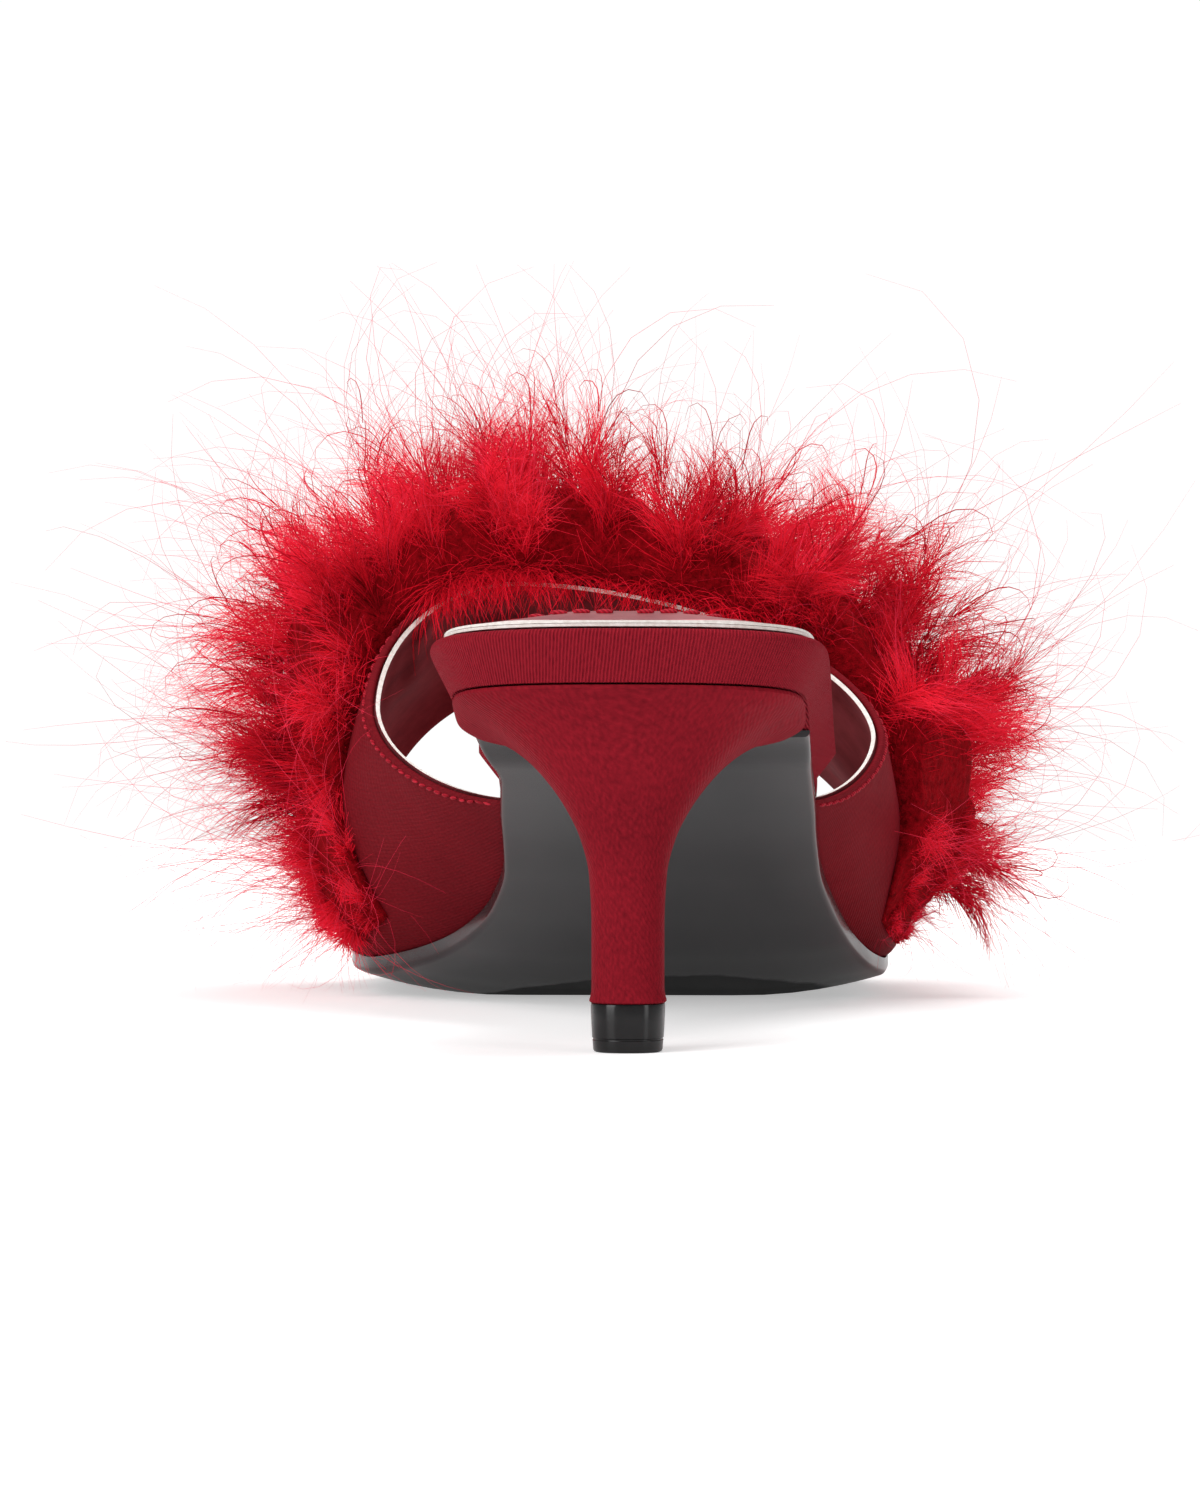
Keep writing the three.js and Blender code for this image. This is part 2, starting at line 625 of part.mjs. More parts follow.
// How deep the dense feathers are at a place: full on the crest and the medial side, and
// thinner towards the sole and along the edges, with a slow swell from tuft to tuft
function featherDepthAt(round, band) {
  const { edge, foot, footEnd, medial, lateral, swells } = featherForm;
  const inward = mix(edge, 1, 1 - Math.abs(2 * band - 1) ** 3);
  const upward = mix(foot, 1, smooth(Math.min(round, 1 - round), 0, footEnd));
  const side = mix(medial, lateral, smooth(round, 0.35, 0.75));
  const waves = swells.map(({ size, around, along }) => size * Math.sin(around * round + along * band));
  return featherDepth * inward * upward * side * waves.reduce((sum, wave) => sum + wave, 1);
}

// A point on the outside of the dense feathers
function featherSurface(round, band) {
  const { point, outward, forward } = featherSkin(round, band);
  const throwOut = 2 * band - 1;
  const reach = throwOut < 0 ? featherRear : featherFront;
  const surface = point.addScaledVector(outward, wall / 2 + featherDepthAt(round, band));
  surface.addScaledVector(forward, reach * throwOut * Math.abs(throwOut));
  surface.z = Math.max(surface.z, featherFloor);
  return { surface, outward, forward };
}

// A tapered lock: a ring at its root, a ring where it bends, and its tip
function lock({ surface, outward, forward }, length, width, lean, sideways, turn) {
  const away = outward.clone().addScaledVector(forward, lean);
  away.z += lockLift * (1 - Math.abs(outward.z));
  away.normalize();
  const across = away.clone().cross(forward).normalize();
  const other = away.clone().cross(across).normalize();
  const bend = across.clone().multiplyScalar(sideways);
  bend.z -= lockBend.droop;
  const { middle, middleWidth, middleBend, tipBend } = lockShape;
  const stations = [
    { reach: -lockRoot, radius: width / 2, bend: 0 },
    { reach: length * middle, radius: (width * middleWidth) / 2, bend: middleBend },
  ];
  const points = [];
  const centreAt = (reach, bent) => {
    return surface.clone().addScaledVector(away, reach).addScaledVector(bend, bent * length);
  };
  for (const station of stations) {
    const centre = centreAt(station.reach, station.bend);
    for (let k = 0; k < lockSides; k += 1) {
      const angle = turn + (k / lockSides) * 2 * Math.PI;
      const rim = centre.clone().addScaledVector(across, Math.cos(angle) * station.radius);
      points.push(rim.addScaledVector(other, Math.sin(angle) * station.radius).toArray());
    }
  }
  points.push(centreAt(length, tipBend).toArray());
  const tip = points.length - 1;
  const faces = [];
  for (let k = 0; k < lockSides; k += 1) {
    const next = (k + 1) % lockSides;
    faces.push(...quad(k, next, lockSides + next, lockSides + k), [lockSides + k, lockSides + next, tip]);
    if (k > 0 && next > 0) faces.push([0, next, k]);
  }
  for (const point of points) point[2] = Math.max(point[2], featherFloor);
  return geometryOf(points, faces);
}

// Solids that are cut and joined

function toManifold(geometry) {
  const vertProperties = Float32Array.from(geometry.attributes.position.array);
  const triVerts = Uint32Array.from(geometry.index.array);
  return new wasm.Manifold(new wasm.Mesh({ numProp: 3, vertProperties, triVerts }));
}

function fromManifold(solid) {
  const { vertProperties, triVerts, numProp } = solid.getMesh();
  const points = [];
  for (let i = 0; i < vertProperties.length; i += numProp) {
    points.push(Array.from(vertProperties.slice(i, i + 3)));
  }
  const faces = [];
  for (let i = 0; i < triVerts.length; i += 3) faces.push(Array.from(triVerts.slice(i, i + 3)));
  return geometryOf(points, faces);
}

// The dense feathers over the upper, with the locks joined on
function marabou() {
  const across = archSteps - 2 * bareFootSteps;
  const grid = (pointAt) => {
    const rows = [];
    for (let i = 0; i <= featherSteps; i += 1) {
      const row = [];
      for (let k = 0; k <= across; k += 1) row.push(pointAt(k / across, i / featherSteps).toArray());
      rows.push(row);
    }
    return rows;
  };
  const inner = grid((round, band) => featherSkin(round, band).point);
  const outer = grid((round, band) => featherSurface(round, band).surface);
  let solid = toManifold(layeredSolid([inner, outer]));
  const next = numberStream(lockSeed);
  const variety = lockVariety;
  lockCourses.forEach(({ band, count, lean, reach }) => {
    for (let k = 0; k < count; k += 1) {
      const round = (k + 0.5 + variety.around * (next() - 0.5)) / count;
      const root = featherSurface(round, clamp(band + variety.band * (next() - 0.5), 0, 1));
      const low = mix(lowLocks, 1, smooth(Math.min(round, 1 - round), 0, lowLocksEnd));
      const length = lockLength * reach * low * (variety.shortest + variety.longer * next());
      const width = lockWidth * (variety.thinnest + variety.thicker * next());
      const sideways = lockBend.sideways * (next() - 0.5);
      const turned = lean + lockBend.lean * (next() - 0.5);
      solid = solid.add(toManifold(lock(root, length, width, turned, sideways, next())));
    }
  });
  const underneath = layeredSolid([upperLayer(wall * 2), upperLayer(-clearance)]);
  const bodies = solid.subtract(toManifold(underneath)).decompose();
  bodies.sort((one, other) => other.volume() - one.volume());
  return fromManifold(bodies[0]);
}

const group = new THREE.Group();

function addPiece(name, geometry, colour, roughness) {
  const material = new THREE.MeshStandardMaterial({ color: colour, roughness, metalness: 0 });
  const mesh = new THREE.Mesh(geometry, material);
  mesh.name = name;
  group.add(mesh);
}

addPiece('outsole', outsole(), '#39343a', 0.25);
addPiece('footbed', footbed(), '#8e1c26', 0.55);
addPiece('sock', sock(), '#86484d', 0.35);
addPiece('heel', heel(), '#7a1e26', 0.55);
addPiece('heel_tip', heelTip(), '#1c1a1c', 0.2);
addPiece('vamp', vamp(), '#6c1c21', 0.55);
addPiece('marabou', marabou(), '#b4121f', 0.9);

export default group;
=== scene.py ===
"""A marabou slipper for the right foot: red satin, a glossy black sole and a deep trim of down.

Shapes are worked out in millimetres, +Y from heel to toe, +Z up and +X to the outer side of the
foot, and become metres when a mesh is made. A "layer" is a grid of points, and "shade" and
"reach" are attributes that the feather material reads to paint shade into the down: "shade"
darkens it between its tufts and in its core, and "reach" darkens it towards its roots and
brightens its tips with painted light.
"""

import json
import math

import bmesh
import bpy
import numpy as np
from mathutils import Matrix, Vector

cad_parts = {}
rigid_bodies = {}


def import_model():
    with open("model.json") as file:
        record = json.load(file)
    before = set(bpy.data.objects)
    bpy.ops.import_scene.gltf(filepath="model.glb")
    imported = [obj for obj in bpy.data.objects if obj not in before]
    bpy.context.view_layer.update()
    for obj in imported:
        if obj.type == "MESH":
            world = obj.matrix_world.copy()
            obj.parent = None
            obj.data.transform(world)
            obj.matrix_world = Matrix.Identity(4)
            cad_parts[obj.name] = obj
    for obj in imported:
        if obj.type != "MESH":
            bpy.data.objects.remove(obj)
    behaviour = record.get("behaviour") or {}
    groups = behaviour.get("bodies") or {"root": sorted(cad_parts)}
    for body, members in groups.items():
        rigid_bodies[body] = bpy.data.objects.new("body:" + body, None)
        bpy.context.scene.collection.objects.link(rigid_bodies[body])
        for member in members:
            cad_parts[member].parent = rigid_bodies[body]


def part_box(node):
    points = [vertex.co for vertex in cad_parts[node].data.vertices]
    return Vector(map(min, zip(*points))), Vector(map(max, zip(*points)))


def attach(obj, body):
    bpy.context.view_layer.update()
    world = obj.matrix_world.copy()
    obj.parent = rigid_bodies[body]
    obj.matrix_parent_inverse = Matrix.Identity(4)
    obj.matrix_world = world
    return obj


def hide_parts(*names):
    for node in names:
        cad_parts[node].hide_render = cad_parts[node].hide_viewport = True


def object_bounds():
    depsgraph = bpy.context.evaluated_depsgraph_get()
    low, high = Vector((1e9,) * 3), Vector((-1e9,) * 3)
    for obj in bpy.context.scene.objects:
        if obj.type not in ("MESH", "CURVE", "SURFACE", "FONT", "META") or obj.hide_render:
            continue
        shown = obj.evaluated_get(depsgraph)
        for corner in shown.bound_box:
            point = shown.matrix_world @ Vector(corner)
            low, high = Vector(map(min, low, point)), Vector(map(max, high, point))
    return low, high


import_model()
cad_box = [list(corner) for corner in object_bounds()]

MM = 0.001


def in_mm(corner):
    return [value / MM for value in corner]


# The shoe's own sizes, in millimetres

BED_LOW, BED_HIGH = (in_mm(corner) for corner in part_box("footbed"))
HEEL_LOW, HEEL_HIGH = (in_mm(corner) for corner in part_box("heel"))
SOLE_LENGTH = BED_HIGH[1] - BED_LOW[1]
HEEL_SETBACK = -BED_LOW[1]
HEEL_HEIGHT = 50.5
SEAT_WIDTH = HEEL_HIGH[0] - HEEL_LOW[0]
WAIST_WIDTH = 44.8
BALL_WIDTH = 81
TOE_SPRING = 7
CUP_DEPTH = 3.7
CLEARANCE = 0.3
OUTSOLE_THICKNESS = 2.4
SEAT_THICKNESS = 7
FORE_THICKNESS = 3.5
SEAT_OVERHANG = 3
FORE_OVERHANG = 1
FOOTBED_ROUND = 1.0
SOCK_MARGIN = 1.8
PAD_HEIGHT = 1.8
PAD_LENGTH = 62
BREAST_PLACE = HEEL_HIGH[1] + HEEL_SETBACK
STEM_WIDTH = 10.2
STEM_DEPTH = 11
TIP_HEIGHT = HEEL_LOW[2]
WALL = 1.8
UPPER_LIP = 0.2
LASTING_EASE = 0.5
INSTEP_HEIGHT = 54.6
FLAT_SHARE = 0.45
BED_HEIGHT = OUTSOLE_THICKNESS + CLEARANCE

# Shares of the sole's length: where the footbed grows thinner, over what length its overhang
# does, and where, from the upper's feet, its edge comes back out behind and ahead of the upper
THINNING = (0.1, 0.401)
OVERHANG_EASE = 0.14
BARE_BEHIND = (-0.035, -0.005)
BARE_AHEAD = (0.01, 0.07)
# The cup's side goes on rising past the sole's outline up to this share
CUP_LIMIT = 1.2
# A height inside the shoe, from which the upper's outer side faces away
INSIDE_HEIGHT = 15.0

# The sole, a row for each section. along is a share of the length. rise, spring and cup are
# shares of the heel height, the toe spring and the cup depth. middle is a share of the ball
# width, and seat, waist and ball are the shares of those widths that make up the section's.
SOLE_COLUMNS = ("along", "rise", "spring", "cup", "middle", "seat", "waist", "ball")
SOLE_SECTIONS = [
    (0.013, 1.000, 0.00, 0.00, 0.000, 1.0, 0.00, 0.000),
    (0.063, 0.969, 0.00, 0.00, 0.000, 1.0, 0.00, 0.000),
    (0.114, 0.925, 0.00, 0.00, 0.002, 1.0, 0.00, 0.000),
    (0.190, 0.826, 0.00, 0.05, 0.018, 0.5, 0.49, 0.000),
    (0.253, 0.720, 0.00, 0.10, 0.035, 0.1, 0.87, 0.000),
    (0.338, 0.563, 0.00, 0.15, 0.033, 0.0, 1.00, 0.000),
    (0.401, 0.420, 0.00, 0.20, 0.034, 0.0, 0.98, 0.020),
    (0.464, 0.276, 0.00, 0.28, 0.030, 0.0, 0.86, 0.140),
    (0.527, 0.143, 0.00, 0.42, 0.010, 0.0, 0.62, 0.380),
    (0.591, 0.042, 0.00, 0.68, -0.027, 0.0, 0.28, 0.720),
    (0.641, 0.000, 0.00, 0.92, -0.052, 0.0, 0.07, 0.930),
    (0.684, 0.000, 0.00, 1.00, -0.065, 0.0, 0.00, 1.000),
    (0.726, 0.000, 0.00, 1.00, -0.070, 0.0, 0.00, 0.992),
    (0.802, 0.000, 0.08, 0.85, -0.073, 0.0, 0.00, 0.992),
    (0.895, 0.000, 0.42, 0.50, -0.070, 0.0, 0.00, 0.992),
    (0.996, 0.000, 1.00, 0.00, -0.065, 0.0, 0.00, 0.992),
]
SEAT_END = {"along": 0.114, "squareness": 3}
TOE_END = {"along": 0.726, "squareness": 2.1}

# The heel, a row for each ring. level is a share of the height above the tip, and tilt how
# much of the seat's slope the ring keeps. half, back, front and widest lead from the stem's
# size, 0, to the seat's, 1. behind and ahead are how square the ring is there.
HEEL_COLUMNS = ("level", "tilt", "half", "back", "front", "widest", "behind", "ahead")
HEEL_RINGS = [
    (0.000, 0.00, 0.000, 0.000, 0.000, 0.0, 2.4, 2.6),
    (0.050, 0.00, -0.008, -0.010, -0.003, 0.0, 2.4, 2.6),
    (0.250, 0.00, -0.008, -0.010, 0.010, 0.0, 2.4, 2.6),
    (0.420, 0.00, 0.010, 0.025, 0.050, 0.0, 2.4, 2.6),
    (0.535, 0.20, 0.070, 0.105, 0.135, 0.0, 2.4, 2.6),
    (0.635, 0.40, 0.175, 0.205, 0.255, 0.1, 2.4, 2.8),
    (0.750, 0.65, 0.350, 0.340, 0.410, 0.3, 2.5, 2.9),
    (0.840, 0.85, 0.530, 0.500, 0.580, 0.5, 2.6, 3.1),
    (0.920, 0.95, 0.750, 0.720, 0.770, 0.8, 2.8, 3.6),
    (0.972, 1.00, 0.955, 0.935, 0.960, 1.0, 3.0, 4.2),
    (1.000, 1.00, 1.000, 1.000, 1.000, 1.0, 3.0, 4.6),
]

# The upper, a value at the collar, over the ball and at the toe opening. foot and crest are
# shares of the sole's length, height of the instep height, and the others of the ball width.
UPPER_HOOPS = {
    "foot": (0.317, 0.591, 0.810),
    "crest": (0.538, 0.658, 0.772),
    "height": (1.00, 0.98, 0.83),
    "shift": (-0.235, -0.210, -0.173),
    "medial": (0.500, 0.590, 0.556),
    "lateral": (0.428, 0.470, 0.432),
    "medial_level": (0.42, 0.28, 0.36),
    "lateral_level": (0.27, 0.22, 0.30),
}
ARCH_FULLNESS = {"foot": 1.9, "medial_crown": 2.05, "lateral_crown": 1.72}
COLLAR_SWEEP = 0.5
WIDE_TURN = 0.32


def mix(low, high, share):
    return low + (high - low) * share


def smooth(value, low, high):
    share = np.clip((np.asarray(value, float) - low) / (high - low), 0, 1)
    return share * share * (3 - 2 * share)


def curve_of(columns, rows, key, column):
    """A smooth curve through one column of a table that never swings past its rows."""
    table = dict(zip(columns, np.array(rows).T))
    places, values = table[key], table[column]
    steps = np.diff(values) / np.diff(places)
    slopes = np.zeros(len(values))
    slopes[0], slopes[-1] = steps[0], steps[-1]
    for i in range(1, len(values) - 1):
        if steps[i - 1] * steps[i] > 0:
            before = places[i] - places[i - 1]
            after = places[i + 1] - places[i]
            weight = (before + 2 * after) / (3 * (before + after))
            slopes[i] = steps[i - 1] * steps[i] / (weight * steps[i] + (1 - weight) * steps[i - 1])

    def at(place):
        place = np.asarray(place, float)
        i = np.clip(np.searchsorted(places, place, side="right") - 1, 0, len(places) - 2)
        width = places[i + 1] - places[i]
        t = np.clip((place - places[i]) / width, 0, 1)
        near = (1 + 2 * t) * (1 - t) ** 2 * values[i] + t * (1 - t) ** 2 * width * slopes[i]
        far = t * t * (3 - 2 * t) * values[i + 1] + t * t * (t - 1) * width * slopes[i + 1]
        below = slopes[0] * np.minimum(place - places[0], 0)
        above = slopes[-1] * np.maximum(place - places[-1], 0)
        return near + far + below + above

    return at


# The form of the sole

sole_curve = {name: curve_of(SOLE_COLUMNS, SOLE_SECTIONS, "along", name) for name in SOLE_COLUMNS[1:]}
heel_curve = {name: curve_of(HEEL_COLUMNS, HEEL_RINGS, "level", name) for name in HEEL_COLUMNS[1:]}


def to_y(along):
    return np.asarray(along) * SOLE_LENGTH - HEEL_SETBACK


def to_along(y):
    return (np.asarray(y) + HEEL_SETBACK) / SOLE_LENGTH


def middle_at(along):
    return sole_curve["middle"](along) * BALL_WIDTH


def full_half(along):
    seat = sole_curve["seat"](along) * SEAT_WIDTH
    waist = sole_curve["waist"](along) * WAIST_WIDTH
    ball = sole_curve["ball"](along) * BALL_WIDTH
    return (seat + waist + ball) / 2


def bed_z(x, y):
    """Underside of the footbed."""
    along = to_along(y)
    ramp = (np.abs(x - middle_at(along)) / full_half(along) - FLAT_SHARE) / (1 - FLAT_SHARE)
    cup = CUP_DEPTH * np.maximum(sole_curve["cup"](along), 0) * np.clip(ramp, 0, CUP_LIMIT) ** 2
    rise = sole_curve["rise"](along) * (HEEL_HEIGHT - BED_HEIGHT)
    return BED_HEIGHT + rise + sole_curve["spring"](along) * TOE_SPRING + cup


def footbed_inset(along):
    """How far the footbed's edge stands in to leave room for the upper."""
    rear, front = UPPER_HOOPS["foot"][0], UPPER_HOOPS["foot"][2]
    behind = 1 - smooth(along, *(rear + step for step in BARE_BEHIND))
    ahead = smooth(along, *(front + step for step in BARE_AHEAD))
    return (UPPER_LIP + WALL + CLEARANCE + LASTING_EASE) * (1 - np.maximum(behind, ahead))


def footbed_overhang(along):
    rear = UPPER_HOOPS["foot"][0]
    return mix(SEAT_OVERHANG, FORE_OVERHANG, smooth(along, rear, rear + OVERHANG_EASE))


def footbed_z(x, y):
    """Top of the footbed."""
    return bed_z(x, y) + mix(SEAT_THICKNESS, FORE_THICKNESS, smooth(to_along(y), *THINNING))


def sole_stations(end_steps, between_steps):
    """Places along the sole, each with how far its outline is closed towards an end."""
    back, tip = SOLE_SECTIONS[0][0], SOLE_SECTIONS[-1][0]
    angle = np.linspace(0, math.pi / 2, end_steps + 1)
    seat_power = 2 / SEAT_END["squareness"]
    seat = SEAT_END["along"] - (SEAT_END["along"] - back) * np.cos(angle) ** seat_power
    toe_power = 2 / TOE_END["squareness"]
    toe = TOE_END["along"] + (tip - TOE_END["along"]) * np.sin(angle) ** toe_power
    between = np.linspace(SEAT_END["along"], TOE_END["along"], between_steps + 1)[1:-1]
    along = np.concatenate([seat, between, toe])
    open_part = np.ones(len(between))
    close = np.concatenate([np.sin(angle) ** seat_power, open_part, np.cos(angle) ** toe_power])
    close[-1] = 0
    return along, close


def outline(along, close, distance):
    """The sole's left and right outline, moved out by a distance."""
    sides = []
    both = [
        np.stack([middle_at(along) + side * full_half(along) * close, to_y(along)], -1)
        for side in (-1, 1)
    ]
    for side, points, other in ((-1, both[0], both[1]), (1, both[1], both[0])):
        before = np.vstack([other[1] if close[0] == 0 else points[0], points[:-1]])
        after = np.vstack([points[1:], other[-2]])
        tangent = after - before
        tangent /= np.linalg.norm(tangent, axis=1, keepdims=True)
        outward = side * np.stack([tangent[:, 1], -tangent[:, 0]], -1)
        sides.append(points + outward * np.broadcast_to(distance, along.shape)[:, None])
    return sides


def sole_layer(stations, columns, distance, height):
    """A layer that covers the sole's outline, at a height that may change over it."""
    left, right = outline(*stations, distance(stations[0]))
    share = (columns[None, :, None] + 1) / 2
    flat = left[:, None] * (1 - share) + right[:, None] * share
    return np.dstack([flat, height(flat[..., 0], flat[..., 1])])


# The form of the upper


def hoop_value(column, band):
    collar, ball, toe = UPPER_HOOPS[column]
    return collar + band * (toe - collar) + 2 * (collar - 2 * ball + toe) * band * (band - 1)


def upper_point(around, band, inset=0.0):
    """A point of the upper. around goes from the medial foot, 0, over the crest to the lateral
    foot, 1, and band from the collar, 0, to the toe opening, 1."""
    around, band, inset = np.broadcast_arrays(*(np.asarray(v, float) for v in (around, band, inset)))
    hoop = {column: hoop_value(column, band) for column in UPPER_HOOPS}
    medial = around < 0.5
    side = np.where(medial, -1, 1)
    climb = np.where(medial, around * 2, 2 - around * 2)
    foot_x = middle_at(hoop["foot"]) + side * (full_half(hoop["foot"]) - UPPER_LIP - inset)
    foot_z = bed_z(foot_x, to_y(hoop["foot"]))
    crest_x = hoop["shift"] * BALL_WIDTH
    crest_z = bed_z(crest_x, to_y(hoop["crest"])) + hoop["height"] * INSTEP_HEIGHT - inset
    wide_x = side * (np.where(medial, hoop["medial"], hoop["lateral"]) * BALL_WIDTH - inset)
    wide_z = mix(foot_z, crest_z, np.where(medial, hoop["medial_level"], hoop["lateral_level"]))
    low_angle = np.clip(climb / WIDE_TURN, 0, 1) * math.pi / 2
    high_angle = np.clip((climb - WIDE_TURN) / (1 - WIDE_TURN), 0, 1) * math.pi / 2
    low_power = 2 / ARCH_FULLNESS["foot"]
    high_power = 2 / np.where(medial, ARCH_FULLNESS["medial_crown"], ARCH_FULLNESS["lateral_crown"])
    low = climb < WIDE_TURN
    x = np.where(
        low,
        mix(foot_x, wide_x, np.sin(low_angle) ** low_power),
        mix(crest_x, wide_x, np.cos(high_angle) ** high_power),
    )
    z = np.where(
        low,
        mix(wide_z, foot_z, np.cos(low_angle) ** low_power),
        mix(wide_z, crest_z, np.sin(high_angle) ** high_power),
    )
    lift = np.clip((z - foot_z) / (crest_z - foot_z), 0, 1)
    return np.stack([x, to_y(mix(hoop["foot"], hoop["crest"], lift**COLLAR_SWEEP)), z], -1)


def unit(vectors):
    return vectors / np.maximum(np.linalg.norm(vectors, axis=-1, keepdims=True), 1e-9)


def upper_frame(around, band, inset=0.0):
    """Points of the upper with the directions out of it, forward and round it."""
    step = 0.004
    around = np.clip(around, step, 1 - step)
    point = upper_point(around, band, inset)
    along_arch = upper_point(around + step, band, inset) - upper_point(around - step, band, inset)
    forward = upper_point(around, band + step, inset) - upper_point(around, band - step, inset)
    outward = unit(np.cross(forward, along_arch))
    inside = point * (0, 1, 0) + (0, 0, INSIDE_HEIGHT)
    turned = np.sum(outward * (point - inside), -1, keepdims=True) < 0
    return point, np.where(turned, -outward, outward), unit(forward), unit(along_arch)


# Meshes

PIECES = {}


def object_of(name, data):
    """An object of a mesh, lamp or camera, in the scene."""
    made = bpy.data.objects.new(name, data)
    bpy.context.scene.collection.objects.link(made)
    return made


def mesh_object(name, points, faces, uv, materials, face_slots=None, sharp=40):
    """A mesh from points in millimetres, with a place in its pattern for each corner."""
    mesh = bpy.data.meshes.new(name)
    places = [tuple(point) for point in np.asarray(points) * MM]
    mesh.from_pydata(places, [], [tuple(face) for face in faces])
    layer = mesh.uv_layers.new(name="UVMap")
    layer.data.foreach_set("uv", (uv * MM).astype(np.float32).ravel())
    for material in materials:
        mesh.materials.append(material)
    if face_slots is not None:
        mesh.polygons.foreach_set("material_index", np.asarray(face_slots, np.int32))
    mesh.polygons.foreach_set("use_smooth", np.ones(len(mesh.polygons), bool))
    mesh.set_sharp_from_angle(angle=math.radians(sharp))
    mesh.update()
    PIECES[name] = object_of(name, mesh)
    return PIECES[name]


def layered(layers):
    """Points, faces, and the kind of each face, of a closed solid of layers: 0 for the first
    layer's own grid, 1 for the last one's and 2 for its edge."""
    rows, columns = layers[0].shape[:2]
    points = np.concatenate([layer.reshape(-1, 3) for layer in layers])
    index = np.arange(len(points)).reshape(len(layers), rows, columns)
    faces, kinds = [], []
    for layer, order in ((index[0], (0, 1, 2, 3)), (index[-1], (3, 2, 1, 0))):
        corners = [layer[:-1, :-1], layer[1:, :-1], layer[1:, 1:], layer[:-1, 1:]]
        grid = np.stack([corners[i] for i in order], -1).reshape(-1, 4)
        faces.append(grid)
        kinds += [0 if order[0] == 0 else 1] * len(grid)
    rim = [
        np.concatenate([layer[0, :-1], layer[:-1, -1], layer[-1, :0:-1], layer[:0:-1, 0]])
        for layer in index
    ]
    for low, high in zip(rim, rim[1:]):
        band = np.stack([low, np.roll(low, -1), np.roll(high, -1), high], -1)
        faces.append(band)
        kinds += [2] * len(band)
    faces = np.concatenate(faces)
    return points, *merged(points, faces, np.array(kinds))


def merged(points, faces, kinds):
    """The faces with points that coincide made one, and with faces of no size left out."""
    _, first, same = np.unique(np.round(points, 4), axis=0, return_index=True, return_inverse=True)
    faces = first[same.reshape(-1)][faces]
    kept, kept_kinds = [], []
    for face, kind in zip(faces.tolist(), kinds.tolist()):
        ring = [corner for i, corner in enumerate(face) if corner != face[i - 1]]
        if len(set(ring)) >= 3 and len(set(ring)) == len(ring):
            kept.append(ring)
            kept_kinds.append(kind)
    return kept, np.array(kept_kinds)


def rim_uv(layers):
    """For layers: each point's place in plan, how far round the edge from its front and up it
    lies, and the length of the edge."""
    rows, columns = layers[0].shape[:2]
    rim = [(0, c) for c in range(columns - 1)]
    rim += [(r, columns - 1) for r in range(rows - 1)]
    rim += [(rows - 1, c) for c in range(columns - 1, 0, -1)]
    rim += [(r, 0) for r in range(rows - 1, 0, -1)]
    row, column = np.array(rim).T
    middle = layers[len(layers) // 2][row, column]
    steps = np.linalg.norm(np.roll(middle, -1, 0) - middle, axis=1)
    girth = steps.sum()
    round_edge = np.concatenate([[0], np.cumsum(steps)[:-1]])
    plan, edge = [], []
    for layer in layers:
        values = layer[..., 1:].copy()
        values[row, column, 0] = (round_edge + girth / 2) % girth
        plan.append(layer[..., :2].reshape(-1, 2))
        edge.append(values.reshape(-1, 2))
    return np.concatenate(plan), np.concatenate(edge), girth


def carried_on(place, girth):
    """A face's places in a pattern that runs round a piece, where it closes the round."""
    place = place.copy()
    place[:, 0] += np.where(place[:, 0].max() - place[:, 0] > girth / 2, girth, 0)
    return place


def inside_out(points, faces):
    """Whether the faces of a closed mesh point inwards."""
    volume = 0.0
    for face in faces:
        corner = points[face]
        for i in range(1, len(face) - 1):
            volume += np.dot(corner[0], np.cross(corner[i], corner[i + 1]))
    return volume < 0


def solid(name, layers, materials, slot_of_kind=(0, 0, 0), uv=None, sharp=40):
    points, faces, kinds = layered(layers)
    if inside_out(points, faces):
        faces = [face[::-1] for face in faces]
    if uv is None:
        plan, edge, girth = rim_uv(layers)
        corners = [
            carried_on(edge[face], girth) if kind == 2 else plan[face] for face, kind in zip(faces, kinds)
        ]
    else:
        corners = [uv[face] for face in faces]
    piece = mesh_object(name, points, faces, np.concatenate(corners), materials,
                        np.array(slot_of_kind)[kinds], sharp)
    drop_loose(piece.data)
    return piece


def drop_loose(mesh):
    """Leaves out points that no face uses."""
    work = bmesh.new()
    work.from_mesh(mesh)
    bmesh.ops.delete(work, geom=[v for v in work.verts if not v.link_faces], context="VERTS")
    work.to_mesh(mesh)
    work.free()


